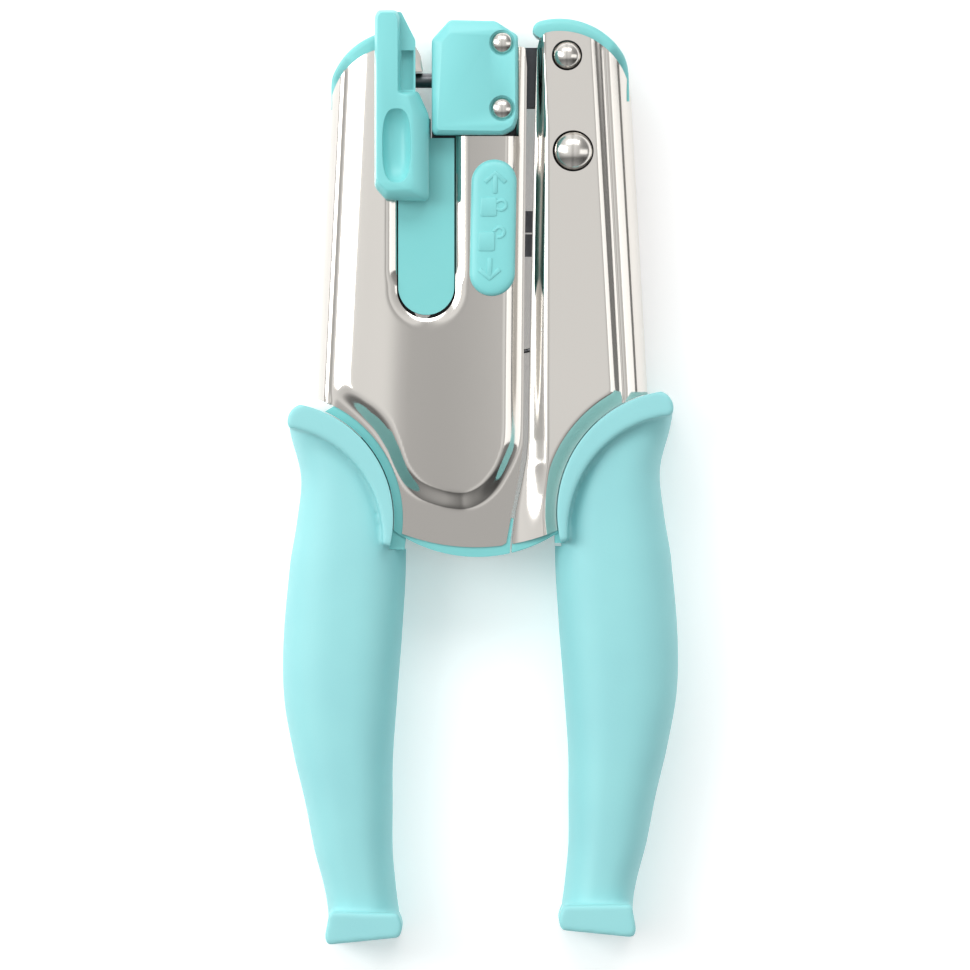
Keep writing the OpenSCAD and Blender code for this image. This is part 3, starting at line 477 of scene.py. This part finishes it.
# %% Height of the right cover
def right_height(x, y):
    side, seam, inner = table(SIDE_R, y), table(SEAM_R, y), table(FLAT_R, y)
    q = least((x - seam - 0.1) / (inner - seam + 0.4), (side - 5.2 - x) / 3.0,
              (math.hypot(x - RIGHT_SHOULDER[0], y - RIGHT_SHOULDER[1]) - 26.6) / 3.2, k=0.08)
    w = RIM + (PANEL - RIM) * ease(q)
    w -= ease(q) * (0.055 * max(0, x - 14) + 0.9 * max(0.0, (24 - y) / 30) ** 2)
    return w - 0.12 * math.exp(-((x - side + 5.6) / 0.7) ** 2)


print("right panel stands at", round(right_height(20, 60), 2))

# %% [markdown]
# ## The press
# On the blank the rolled side lies flat, ten millimetres of it, and in plan it takes only a
# few. One function finds where a point of the finished plan lies on the blank, for drawing
# the cuts, and the other takes a point of the blank to its place in the cover.

# %% From plan to blank and from blank to cover
def side_and_band(y, left):
    return (table(SIDE_L, y), BAND_L) if left else (table(SIDE_R, y), BAND_R)


def blank_x(x, y, left):
    """Where a point of the finished plan lies on the flat blank."""
    side, band = side_and_band(y, left)
    d = x - side if left else side - x
    if d >= band:
        return x
    turn = math.acos(1 - max(d, 0) / band) / (math.pi / 2)
    flat = ROLL * (1 - turn) + (2.0 if d < 0 else 0.0)
    return side + band - flat if left else side - band + flat


def press(x, y, left, face):
    """Where a point of the flat blank goes in the die: plan place and height."""
    side, band = side_and_band(y, left)
    d = x - side if left else side - x
    if d >= band:
        return x, y, (left_height(x, y, face) if left else right_height(x, y))
    turn = math.radians(90 * (1 - (band - d) / ROLL))
    w = 0.35 + (RIM - 0.35) * math.sin(turn)
    d = band * (1 - math.cos(turn))
    return (side + d if left else side - d), y, w


def press_under(x, y, left, face):
    """The same for the under side, which lies one sheet below along the surface normal."""
    e = 0.15
    here = press(x, y, left, face)
    a, b = press(x + e, y, left, face), press(x - e, y, left, face)
    c, f = press(x, y + e, left, face), press(x, y - e, left, face)
    u = [m - n for m, n in zip(a, b)]
    v = [m - n for m, n in zip(c, f)]
    normal = (u[1] * v[2] - u[2] * v[1], u[2] * v[0] - u[0] * v[2], u[0] * v[1] - u[1] * v[0])
    size = math.sqrt(sum(m * m for m in normal)) or 1
    return [m - SHEET * n / size for m, n in zip(here, normal)]


print("the rim's outer edge lies at", round(blank_x(-33.9, 40, True), 2), "on the blank")

# %% Blank, cut and press
def blank(name, left):
    """A flat grid, finest over the rolled side and the slope next to it."""
    low, high = (-17.0, 94.0) if left else (-17.0, 97.5)
    bpy.ops.mesh.primitive_grid_add(x_subdivisions=116 if left else 84,
                                    y_subdivisions=round((high - low) / 0.5), size=2)
    obj = bpy.context.object
    obj.name = name
    for vert in obj.data.vertices:
        t, y = (vert.co.x + 1) / 2, low + (high - low) * (vert.co.y + 1) / 2
        # columns keep their distance from the side as far as the panel's slope
        if left:
            x0, x1 = table(SIDE_L, y) + BAND_L - ROLL - 1.5, table(SEAM_L, y) + 0.6
            x = x0 + 22 * t / 0.4 if t < 0.4 else x0 + 22 + (x1 - x0 - 22) * (t - 0.4) / 0.6
        else:
            x0, x1 = table(SEAM_R, y) - 0.6, table(SIDE_R, y) - BAND_R + ROLL + 1.5
            x = x1 - 16.5 * (1 - t) / 0.5 if t > 0.5 else x0 + (x1 - x0 - 16.5) * t / 0.5
        vert.co = (x * MM, y * MM, 0)
    return apply(obj, "SOLIDIFY", thickness=SHEET * MM, offset=-1)


def pressed(name, left, front, outlines):
    """Cut the flat blank, then press it."""
    obj = blank(name, left)
    for how, outline in outlines:
        flat = [(blank_x(x, y, left), y) for x, y in outline]
        combine(obj, prism("tool", flat, -MID - 3, -MID + 3), how)
    for vert in obj.data.vertices:
        x, y, z = (c / MM for c in vert.co)
        if z > -SHEET / 2:
            here = press(x, y, left, front and "top")
        else:
            here = press_under(x, y, left, front and "under")
        vert.co = (here[0] * MM, here[1] * MM, (MID + here[2]) * MM)
    return smooth(obj, 40)


print("press ready")

# %% [markdown]
# The outlines are drawn in plan: a round top corner, the seam between the halves, the round
# bottom and the hollow shoulder that the grip's collar fits into. The left front is also
# cut for the stop bar and for the punch housing, and the right one for its two big rivets.

# %% Outlines of the covers
LEFT_OUT = ([(-35.5, 70), (-34.5, 79)] + arc(-18, 78, 14.4, 176, 90, 60)
            + [(9.0, 92.4), (9.6, 92.0)]
            + [(table(SEAM_L, y), y)
               for y in (88, 60, 40, 20, 7, 4, 0.75, -3, -6.8, -10, -13.8)]
            + arc(-1.05, 29.5, 44.2, 277.3, 249.2, 24)
            + arc(*SHOULDER, SHOULDER_R, -7.0, 72, 60) + [(-36.5, 18.0)])
RIGHT_OUT = ([(36.0, 70), (34.5, 82)] + arc(16.9, 80.3, 15.4, 6, 96, 60)
             + [(13.9, 95.3), (12.6, 94.0), (12.1, 91.9)]
             + [(table(SEAM_R, y), y)
                for y in (70.4, 38.3, 20, 8.3, 6, 4, 2, -0.75, -3.6, -6.8, -10, -13.2)]
             + arc(-1.05, 29.5, 44.2, 280.3, 293.3, 12)
             + arc(*RIGHT_SHOULDER, RIGHT_SHOULDER_R, 188.0, 107, 60) + [(37.0, 18.0)])
SLOT = (arc(SLOT_X, SLOT_END, SLOT_R, 180, 360, 40)
        + [(-5.3, 76.0), (-10.6, 76.0), (-10.6, 100), (-14.2, 100), (-14.2, 76.0),
           (-17.9, 76.0)])
THROAT = arc(-12.3, 36.1, 1.9, 180, 360, 16) + [(-10.4, 100), (-14.2, 100)]
NOTCH = [(-10.6, 73.2), (8.2, 73.2), (8.2, 99), (-10.6, 99)]
print(len(LEFT_OUT), "and", len(RIGHT_OUT), "points in the outlines")

# %% Press the covers
def left_cover(name, front):
    return pressed(name, True, front, [("INTERSECT", LEFT_OUT),
                                       ("DIFFERENCE", SLOT if front else THROAT),
                                       ("DIFFERENCE", NOTCH)])


def dress_pair(side, front, back):
    smooth(back, 40)
    finish_piece(front, [side + "_front_cover"])
    finish_piece(back, [side + "_back_cover"])
    print(side, "covers have", len(front.data.polygons), "faces in front")


shell = left_cover("left_front_shell", True)
spare = left_cover("spare", False)
back = flip_back(spare, "left_back_shell")
bpy.data.objects.remove(spare)
dress_pair("left", shell, back)

shell = pressed("right_front_shell", False, True,
                [("INTERSECT", RIGHT_OUT),
                 ("DIFFERENCE", arc(*HINGE, HINGE_HOLE, 0, 352.5, 47)),
                 ("DIFFERENCE", arc(*DRIVE, DRIVE_HOLE, 0, 352.5, 47))])
dress_pair("right", shell, flip_back(shell, "right_back_shell"))

# %% [markdown]
# ## The moulded cores
# The covers wrap a teal moulding, which shows as a crescent at each top corner, a thin line
# along each shoulder and a lip at the bottom. A crescent lies between two circles that are
# not concentric, so it tapers by itself. It is lofted in steps round the corner, low where
# the cover's side rolls down and full height at the top.

# %% Corner crescents
CORE_TOP = 8.0      # half the thickness of a core


def reach(start, c, s, circle):
    """How far it is from a point to a circle round it, in the direction (c, s)."""
    ox, oy = start[0] - circle[0], start[1] - circle[1]
    b = ox * c + oy * s
    return -b + math.sqrt(max(b * b - (ox * ox + oy * oy - circle[2] ** 2), 0))


def crescent(inner, outer, a0, a1, sides, hand, round_end):
    """A corner bumper between two circles. hand is 1 on the right and -1 on the left."""
    rings = []
    for k in range(61):
        part = math.sin(math.pi / 2 * k / 60)
        a = math.radians(a0 + (a1 - a0) * part)
        c, s = math.cos(a), math.sin(a)
        r0 = reach(inner, c, s, inner)
        r1 = max(reach(inner, c, s, outer), r0 + 0.12)
        r1 = r0 - 0.5 + (r1 - r0 + 0.5) * ease(part / 0.34)
        d = (inner[0] + r1 * c - table(sides, inner[1] + r1 * s)) * -hand
        low = 0.6
        share = math.sqrt(max(0, min(1, (d + 0.5) / 3.2)))
        tall = max(low, min(CORE_TOP, low + (CORE_TOP - low) * share))
        soft = min(1.2, (r1 - r0 + 0.6) * 0.7)
        side = [(r0 - 1.2, tall), (r1 - soft, tall), (r1 - soft * 0.5, tall - soft * 0.13),
                (r1 - soft * 0.13, tall - soft * 0.5), (r1, tall - soft)]
        left = abs(a1 - a0) * (1 - part) / 7.5      # the tongue is rounded at its end
        if left < 1 and round_end:
            shrink = math.sqrt(max(1 - (1 - left) ** 2, 0.0004))
            middle = (r0 - 0.6 + r1) / 2
            side = [(middle + (r - middle) * shrink, w) for r, w in side]
        loop = side + [(r, -w) for r, w in side[::-1]]
        rings.append([(inner[0] + r * c, inner[1] + r * s, w) for r, w in loop])
    return smooth(loft("corner", rings), 50)


top_l = crescent((-18, 78, 14.5), (-17, 80, 16), 176, 90, SIDE_L, -1, False)
top_r = crescent((16.9, 80.3, 15.5), (16.9, 82.3, 16.2), 2, 110, SIDE_R, 1, True)
print("crescents have", len(top_l.data.polygons), "faces each")

# %% [markdown]
# The rest of a core is drawn in plan: a band that follows the shoulder, a lip that follows
# the round bottom with a softened edge, a bar behind the rolled side, and a small heel that
# closes the corner under the grip. The two lips nearly meet at the seam and part when the
# handles open.

# %% Cores
CORE, INSIDE, HEEL = 7.9, 5.2, 7.5      # half thickness of the lip, the bar and the heel
LIP = (-0.7, 14.4, 31.2)                # circle of the bottom edge

bottom_l = prism("left_core", arc(*SHOULDER, 25.0, 66, -6.2, 50) + arc(*LIP, 235.1, 282.9, 30)
                 + [(6.45, -13.0), (7.1, -8.5), (4.6, -8.5)]
                 + arc(-0.7, 14.4, 26.0, 280, 240, 20) + arc(*SHOULDER, 29.5, 1, 60, 40),
                 -CORE, CORE)
bottom_r = prism("right_core", arc(*RIGHT_SHOULDER, 26.3, 116, 189.2, 50)
                 + arc(*LIP, 303.6, 283.6, 16) + [(6.85, -13.0), (7.6, -8.5), (9.6, -8.5)]
                 + arc(-0.7, 14.4, 26.0, 294, 300, 8) + arc(*RIGHT_SHOULDER, 29.5, 182, 122, 40),
                 -CORE, CORE)
side_l = prism("side", [(-30.2, 79.5), (-33.1, 21), (-31.1, 21), (-28.2, 79.5)], -INSIDE, INSIDE)
side_r = prism("side", [(30.0, 80.5), (33.0, 22), (31.0, 22), (28.0, 80.5)], -INSIDE, INSIDE)
heel_l = prism("heel", [(-19.6, -10.6), (-16.0, -12.4), (-16.3, -15.2), (-19.6, -15.2)],
               -HEEL, HEEL)
heel_r = prism("heel", [(17.6, -10.4), (15.9, -11.8), (15.9, -13.8), (18.6, -13.8)],
               -HEEL, HEEL)
for bottom in (bottom_l, bottom_r):
    soften(bottom, 1.3, 4, 50)
left_core = finish_piece(join("left_core", bottom_l, top_l, side_l, heel_l), ["chassis"])
right_core = finish_piece(join("right_core", bottom_r, top_r, side_r, heel_r), ["spine"])
print("cores have", len(left_core.data.polygons), "and", len(right_core.data.polygons), "faces")

# %% [markdown]
# ## The grips
# A grip is a soft moulding over steel: it swells for the palm, wraps the shoulder with a
# raised collar, and ends in a flare. Such a shape has no edges of its own, so its body is
# lofted through rings along a bent centre line, the collar and the flare are set in, and a
# voxel remesh fuses the three into one skin, which is then relaxed. The shoulder is cut last,
# so that it stays sharp and follows the cover.

# %% Sizes of a grip along its length
GRIP_L, USED, GRIP_TOP = 115, 0.97, 16.7
# share of the length, middle of the grip, half width and thickness as shares of 25 and 11 mm
GRIP = [(0, 31.5, 0.18, 0.80), (0.009, 32.2, 0.24, 0.83), (0.017, 32.7, 0.288, 0.85),
        (0.028, 32.8, 0.328, 0.86), (0.05, 31.6, 0.376, 0.88), (0.14, 28.8, 0.39, 0.92),
        (0.22, 27.9, 0.456, 0.95), (0.30, 28.4, 0.498, 0.98), (0.45, 29.6, 0.508, 1),
        (0.56, 30, 0.484, 1), (0.67, 29.3, 0.422, 0.99), (0.75, 28.2, 0.376, 0.97),
        (0.84, 27.2, 0.336, 0.94), (0.92, 25.6, 0.306, 0.92), (0.97, 24.9, 0.308, 0.92)]


def station(t):
    """The row of the table at any place, on a smooth curve through the rows."""
    k = max(i for i in range(len(GRIP)) if GRIP[i][0] <= t + 1e-9)
    k = min(k, len(GRIP) - 2)
    p = [GRIP[max(0, min(len(GRIP) - 1, k + i))] for i in (-1, 0, 1, 2)]
    f = (t - p[1][0]) / (p[2][0] - p[1][0])
    return [0.5 * (2 * b + (c - a) * f + (2 * a - 5 * b + 4 * c - d) * f * f
                   + (3 * b - a - 3 * c + d) * f ** 3) for a, b, c, d in zip(*p)]


print("palm width", round(50 * station(0.45)[2], 1), "mm")

# %% Body, collar and flare
def grip_body(name):
    rings = []
    for j in range(64):
        down = USED * (j / 63) ** 1.25      # rings lie closer near the top
        t, mid, wide, thick = station(down)
        ring = []
        for i in range(56):
            a = 2 * math.pi * i / 56
            c, s = math.cos(a), math.sin(a)
            outer = c > 0
            x = 25 * wide * math.copysign(abs(c) ** (0.75 if outer else 0.62), c)
            w = 11 * thick * math.copysign(abs(s) ** (0.8 if outer else 0.62), s)
            if not outer:      # the inner side slopes, with an edge along the front
                x += 2.4 * (abs(w) / (11 * thick)) ** 1.5 * abs(c) ** 0.5
            ring.append((mid + x, GRIP_TOP - GRIP_L * down, w))
        rings.append(ring)
    return loft(name, rings)


def grip_collar(cx, cy, edge_r):
    """A rim round the shoulder that narrows as it goes down, with a round lobe on top."""
    reach_r = edge_r + 0.6
    lobe = (37.5, cy + math.sqrt(reach_r ** 2 - (37.5 - cx) ** 2) - 4.0)
    a0 = math.degrees(math.acos((lobe[0] - cx) / reach_r))
    rim = arc(cx, cy, reach_r, a0, 194, 40)
    for k in range(41):
        a, t = math.radians(194 + (a0 - 5 - 194) * k / 40), 1 - k / 40
        r = edge_r - 5.4 + 3.8 * t * t
        rim.append((cx + r * math.cos(a), cy + r * math.sin(a)))
    collar = prism("collar", rim + arc(*lobe, 3.8, -20, 78, 10), -12.9, 12.9)
    return soften(collar, 1.9, 5, 45)


def grip_flare():
    return prism("foot", rounded([(17.6, -92.9), (16.6, -95.8), (17.3, -98.1), (32.7, -99.65),
                                  (33.3, -98.1), (32.3, -92.6)], 0.7, 3), -13, 13)


print("grip parts ready")

# %% Fuse, relax and cut
def grip(name, hand, lift, edge, edge_r):
    """hand is 1 on the right and -1 on the left; lift moves the whole grip up."""
    cx = abs(edge[0])
    body = grip_body(name)
    join(name, body, grip_collar(cx, edge[1] - lift, edge_r), grip_flare())
    for vert in body.data.vertices:
        vert.co.x *= hand
        vert.co.y += lift * MM
    edit_all(body, face_out)
    apply(body, "REMESH", mode="VOXEL", voxel_size=0.45 * MM)
    apply(body, "SMOOTH", factor=0.5, iterations=5)
    outside = arc(cx, edge[1], edge_r, 196, 80, 60) + [(cx, 45), (2, 45), (2, -14)]
    combine(body, prism("outside", [(hand * x, y) for x, y in outside], -30, 30))
    return smooth(body, 50)


left = finish_piece(grip("left_soft_grip", -1, 0.0, SHOULDER, 24.8), ["left_grip"])
right = finish_piece(grip("right_soft_grip", 1, 1.6, RIGHT_SHOULDER, 26.2), ["right_grip"])
print("grips have", len(left.data.polygons), "and", len(right.data.polygons), "faces")

# %% [markdown]
# ## The punch housing
# Two gloss blocks clamp the punch between them. In front the block has wide, soft facets
# round its top face, and two rivets in round seats. The block is lofted from its outline to
# the smaller outline of the top face, and the seats are cut. The back half is the same with
# less height, mirrored, since it has to lie flat on the table.

# %% Housing
BLOCK = [(-10.4, 74.3), (-9.9, 73.4), (5.0, 73.4), (7.2, 74.6), (8.0, 77.0), (8.0, 94.6),
         (3.2, 97.7), (-6.6, 97.9), (-10.4, 93.7)]
BLOCK_TOP = [(-9.2, 75.0), (-8.9, 74.4), (4.7, 74.2), (6.7, 75.3), (7.4, 77.3), (7.4, 93.4),
             (5.4, 94.6), (-6.6, 94.9), (-8.2, 93.0)]
FRONT_W, BACK_W = 15.1, 13.0
RIVETS = {"upper": 93.0, "lower": 79.0}
RIVET_X = 4.6


def between(low, top, t, w):
    """A ring part of the way from one outline to another, at the height w."""
    return [(a + (c - a) * t, b + (d - b) * t, w) for (a, b), (c, d) in zip(low, top)]


def block(name, height):
    low, top = rounded(BLOCK, 0.7, 4), rounded(BLOCK_TOP, 0.7, 4)
    rings = [between(low, top, 0, w) for w in (4.6, 5.0, height - 1.5)]
    for t, fall in ((0.12, 1.0), (0.5, 0.5), (0.88, 0.1), (1.0, 0.0)):
        rings.append(between(low, top, t, height - fall))
    obj = loft(name, rings)
    for y in RIVETS.values():
        combine(obj, prism("seat", arc(RIVET_X, y, 2.75, 0, 350, 35), height - 0.9, 20))
    return soften(obj, 0.25, 2, 25)


front = block("housing_front_shell", FRONT_W)
spare = block("spare", BACK_W)
back = flip_back(spare, "housing_back_shell")
bpy.data.objects.remove(spare)
for vert in back.data.vertices:
    vert.co.z = max(vert.co.z, 0.0)      # a rounding error may lie under the table
finish_piece(front, ["punch_housing_front"])
finish_piece(back, ["punch_housing_back"])
print("housing halves have", len(front.data.polygons), "and", len(back.data.polygons), "faces")

# %% Housing rivets
for tag, y in RIVETS.items():
    top = dome("housing_rivet_" + tag, (RIVET_X, y), 2.3, 14.3, 1.5)
    bottom = dome("housing_rivet_back_" + tag, (RIVET_X, y), 2.15, 0, 0.99)
    for vert in bottom.data.vertices:
        vert.co.z = 2 * MID * MM - (vert.co.z + 12.0 * MM)
    shank = prism("shank", arc(RIVET_X, y, 1.2, 0, 345, 23), -12.2, 14.3)
    whole = smooth(join("housing_rivet_" + tag, top, bottom, shank), 40)
    finish_piece(whole, ["housing_rivets"])
    print(whole.name, "at", RIVET_X, y)

# %% [markdown]
# ## The nose
# The bright block at the end of the left jaw holds the die. It shows beside the thumb slide,
# with a beak that leans over the throat.

# %% Nose
nose = prism("nose_piece", rounded([(-22.2, 78.0), (-14.2, 78.0), (-14.2, 87.1), (-12.3, 87.2),
                                    (-12.8, 90.6), (-16.2, 96.4), (-22.2, 96.4)], 0.4, 2),
             -5.3, 5.3)
combine(nose, prism("lip", [(-15.0, 87.0), (-11.0, 87.0), (-11.0, 60.0), (-15.0, 60.0)],
                    -9, -3.2))
soften(nose, 0.4, 3, 30)
finish_piece(nose, ["die_holder"])
print("nose has", len(nose.data.polygons), "faces")

# %% [markdown]
# ## The thumb slide
# The paper stop is set with the thumb: a tall moulding with a broad trough for the thumb, a
# thin rib that runs up past the jaw, and a wing with a pocket beside it. The rib and the
# foot are one loft, the trough is cut with a ball pressed square, and the wing and the
# stalk that reaches down to the bar are added with booleans.

# %% Thumb slide
FOOT = [(-22.6, 62.2), (-20.2, 59.5), (-11.4, 59.2), (-11.0, 60.2), (-11.0, 77.5),
        (-13.3, 82.7), (-17.0, 82.7), (-17.0, 98.4), (-17.9, 100.0), (-21.9, 100.0),
        (-22.6, 98.6), (-22.6, 90)]
CREST = [(-22.0, 63.4), (-19.9, 61.6), (-15.2, 61.9), (-14.6, 63.2), (-14.6, 77.2),
         (-15.6, 81.6), (-17.7, 82.0), (-17.7, 98.0), (-18.4, 99.3), (-21.4, 99.3),
         (-21.9, 98.2), (-22.0, 90)]
low, top = rounded(FOOT, 0.8, 4), rounded(CREST, 0.9, 4)
rings = [between(low, top, 0, w) for w in (11.1, 13.0, 14.4)]
for t, w in ((0.1, 15.2), (0.3, 16.2), (0.6, 17.1), (0.85, 17.6), (1.0, 17.75)):
    rings.append(between(low, top, t, w))
thumb = loft("thumb_piece", rings)

bpy.ops.mesh.primitive_uv_sphere_add(segments=64, ring_count=32, radius=1)
scoop = bpy.context.object
for vert in scoop.data.vertices:
    x, y = (math.copysign(abs(c) ** 0.7, c) for c in vert.co[:2])
    vert.co = ((-17.9 + 3.1 * x) * MM, (71.0 + 8.0 * y) * MM, (MID + 18.4 + 3.6 * vert.co.z) * MM)
combine(thumb, scoop)

wing = prism("wing", rounded([(-18.0, 82.0), (-13.9, 82.0), (-13.9, 93.6), (-16.9, 99.6),
                              (-18.0, 99.6)], 0.3, 2), 11.1, 14.6)
combine(wing, prism("pocket", [(-16.9, 83.0), (-14.3, 83.0), (-14.3, 91.4), (-16.9, 91.4)],
                    12.6, 20))
stalk = prism("stalk", rounded([(-17.3, 65.4), (-11.6, 65.4), (-11.6, 76), (-17.3, 76)],
                               0.6, 3), 9.3, 11.3)
combine(thumb, wing, "UNION")
combine(thumb, stalk, "UNION")
soften(thumb, 0.28, 3, 32)
finish_piece(thumb, ["thumb_slide"])
print("thumb slide has", len(thumb.data.polygons), "faces")

# %% [markdown]
# ## The lock button
# An oval with a low crown. Its signs, two arrows, a shut and an open padlock, stand up from
# it by a few tenths of a millimetre, as they do when they are cut into a mould. They are real
# prisms and not a bump, so they keep in any light. The whole leans a little with the seam.

# %% Button
def capsule(cx, cy, r, half, n=20):
    """An outline with two round ends."""
    return arc(cx, cy + half, r, 0, 180, n) + arc(cx, cy - half, r, 180, 360, n)


BUTTON_Y = 53.6
CROWN = ((0, 10.9), (0, 11.7), (0.15, 12.05), (0.5, 12.35), (1.0, 12.55), (1.8, 12.68),
         (3.0, 12.74))      # how far in from the edge, and how high
button = loft("lock_oval", [[(x, y, w) for x, y in capsule(2.7, BUTTON_Y, 4.85 - inset, 9.75)]
                            for inset, w in CROWN])
smooth(button, 40)
print("button has", len(button.data.polygons), "faces")

# %% Signs on the button
def stroke(points, width):
    """A line of constant width as a closed outline."""
    left, right = [], []
    for i, (x, y) in enumerate(points):
        a, b = points[max(i - 1, 0)], points[min(i + 1, len(points) - 1)]
        run = math.hypot(b[0] - a[0], b[1] - a[1])
        nx, ny = -(b[1] - a[1]) / run * width / 2, (b[0] - a[0]) / run * width / 2
        left.append((x + nx, y + ny))
        right.append((x - nx, y - ny))
    return left + right[::-1]


def arrow(cx, cy, s):
    """s is 1 for up and -1 for down."""
    return [stroke([(cx, cy - 2.1 * s), (cx, cy + 1.9 * s)], 0.95),
            stroke([(cx - 2.2, cy + 0.3 * s), (cx, cy + 2.3 * s), (cx + 2.2, cy + 0.3 * s)],
                   0.95)]


def padlock(cx, cy, bow_y, bow_from, bow_to):
    """A lock on its side: a solid body and its bow."""
    body = rounded([(cx - 1.8, cy - 2.0), (cx + 1.7, cy - 2.0), (cx + 1.7, cy + 2.0),
                    (cx - 1.8, cy + 2.0)], 0.5, 3)
    return [body, stroke(arc(cx + 2.6, bow_y, 1.05, bow_from, bow_to, 16), 0.65)]


signs = (arrow(2.95, 63.0, 1) + padlock(1.7, 58.0, 58.4, -150, 150)
         + padlock(1.4, 50.6, 52.6, -110, 175) + arrow(2.1, 45.0, -1))
icons = join("lock_marks", *[prism("mark", m, 12.3, 12.92) for m in signs])
soften(icons, 0.12, 2, 40)
button = join("lock_oval", button, icons)
for vert in button.data.vertices:
    vert.co.x += (vert.co.y - BUTTON_Y * MM) * 0.019
finish_piece(button, ["lock_button"])
print(len(signs), "raised marks")

# %% [markdown]
# ## Hinge and drive rivets
# The small one is the hinge and the large one drives the punch. Both go through the tool and
# have a domed head on each side, as high as the CAD node is, so it is measured here.

# %% Big rivets
for node, at, r, name in (("pivot_rivet", HINGE, 3.1, "hinge_rivet"),
                          ("drive_rivet", DRIVE, 4.25, "drive_rivet_head")):
    lo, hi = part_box(node)
    foot_w = 9.6
    rise = hi[2] / MM - MID - foot_w
    head = dome(name, at, r, foot_w, rise)
    tail = dome(name + "_tail", at, r, foot_w, rise)
    for vert in tail.data.vertices:
        vert.co.z = 2 * MID * MM - vert.co.z
    shank = prism("shank", arc(*at, 2.0, 0, 345, 23), -9.7, 9.7)
    whole = edit_all(join(name, head, tail, shank), face_out)
    finish_piece(smooth(whole, 40), [node])
    print(name, "rises", round(rise, 2), "mm over its foot")

# %% [markdown]
# ## Hand over
# Each CAD node that a finer piece stands for is hidden now.

# %% Hide the CAD nodes
for obj, nodes in PIECES:
    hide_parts(*nodes)
print(len(PIECES), "pieces")

# %% [markdown]
# ## Floor
# A white sheet that glows a little, so that it stays white where the tool shades it.

# %% Floor
bpy.ops.mesh.primitive_plane_add(size=4)
floor = bpy.context.object
floor.name = "floor"
paper = material("paper_white", "ffffff", 0.0, 0.9, 0.0, 10.0, spec=0.1)
glow = paper.node_tree.nodes["Principled BSDF"].inputs
glow["Emission Color"].default_value = (1, 1, 1, 1)
glow["Emission Strength"].default_value = 0.22
floor.data.materials.append(paper)
print("floor", floor.dimensions[0], "m wide")

# %% [markdown]
# ## The room in the steel
# Polished steel shows only what is round it. The room is a soft grey that is brightest a
# little to the left, dark in a thin band straight above, so that the flat panels come out
# grey between bright slopes, and darker towards the handles, which draws the line round the
# bottom of the panel. The colours are shown as they are, with no film curve over them.

# %% Room
world = bpy.data.worlds.new("room")
bpy.context.scene.world = world
world.use_nodes = True
sky = world.node_tree
facing = add(sky, "ShaderNodeTexCoord")
parts = add(sky, "ShaderNodeSeparateXYZ", links={"Vector": facing.outputs["Generated"]})


def ramp(axis, stops):
    """A brightness that changes with the direction, from -1 to 1 along one axis."""
    span = add(sky, "ShaderNodeMapRange", inputs={"From Min": -1.0, "From Max": 1.0},
               links={"Value": parts.outputs[axis]})
    made = add(sky, "ShaderNodeValToRGB", links={"Fac": span.outputs["Result"]})
    made.color_ramp.interpolation = "EASE"
    while len(made.color_ramp.elements) < len(stops):
        made.color_ramp.elements.new(0.5)
    for el, (at, level) in zip(made.color_ramp.elements, stops):
        el.position = at
        el.color = (level, level, level, 1)
    return made.outputs["Color"]


across = ramp("X", [(0.0, 0.55), (0.25, 0.9), (0.40, 1.0), (0.47, 0.62), (0.50, 0.52),
                    (0.515, 0.62), (0.545, 0.95), (0.70, 0.70), (0.85, 0.35), (1.0, 0.25)])
along = ramp("Y", [(0.0, 0.5), (0.18, 0.30), (0.24, 0.22), (0.36, 0.85), (0.5, 1.0),
                   (1.0, 1.1)])
both = add(sky, "ShaderNodeMix", settings={"data_type": "RGBA", "blend_type": "MULTIPLY"},
           inputs={0: 1.0}, links={6: across, 7: along})
sky.links.new(both.outputs[2], sky.nodes["Background"].inputs["Color"])
sky.nodes["Background"].inputs["Strength"].default_value = 1.0
bpy.context.scene.view_settings.view_transform = "Standard"
print("room ready")

# %% [markdown]
# ## Lamps and camera
# Large soft boxes give the mouldings their gentle shading: the main one from the left, a weak
# one from the right, and one from beyond the jaws. The camera looks straight down from far
# off through a long lens, which keeps the sides of the tool almost parallel.

# %% Lamps
def softbox(name, at, size, power):
    """A rectangular lamp that looks at the tool."""
    bpy.ops.object.light_add(type="AREA", location=at)
    lamp = bpy.context.object
    lamp.name = name
    lamp.data.shape = "RECTANGLE"
    lamp.data.size, lamp.data.size_y = size
    lamp.data.energy = power
    lamp.rotation_euler = (-Vector(at)).to_track_quat("-Z", "Y").to_euler()
    return lamp


for name, at, size, power in (("left_box", (-0.9, 0.25, 0.75), (0.5, 1.1), 7),
                              ("right_box", (0.95, 0.0, 0.7), (0.4, 1.0), 1.5),
                              ("top_box", (0.0, 0.9, 0.9), (1.2, 0.4), 5)):
    print(softbox(name, at, size, power).name, power, "W")

# %% Camera
VIEW_W, AWAY = 0.208, 2.5      # metres seen from side to side, and the distance
bpy.ops.object.camera_add(location=(0.00096, -0.00139, 2.516), rotation=(0, 0, 0))
cam = bpy.context.object
cam.data.sensor_width = 36
cam.data.lens = 36 * AWAY / VIEW_W
cam.data.clip_end = 10
bpy.context.scene.camera = cam
print("lens", round(cam.data.lens), "mm")
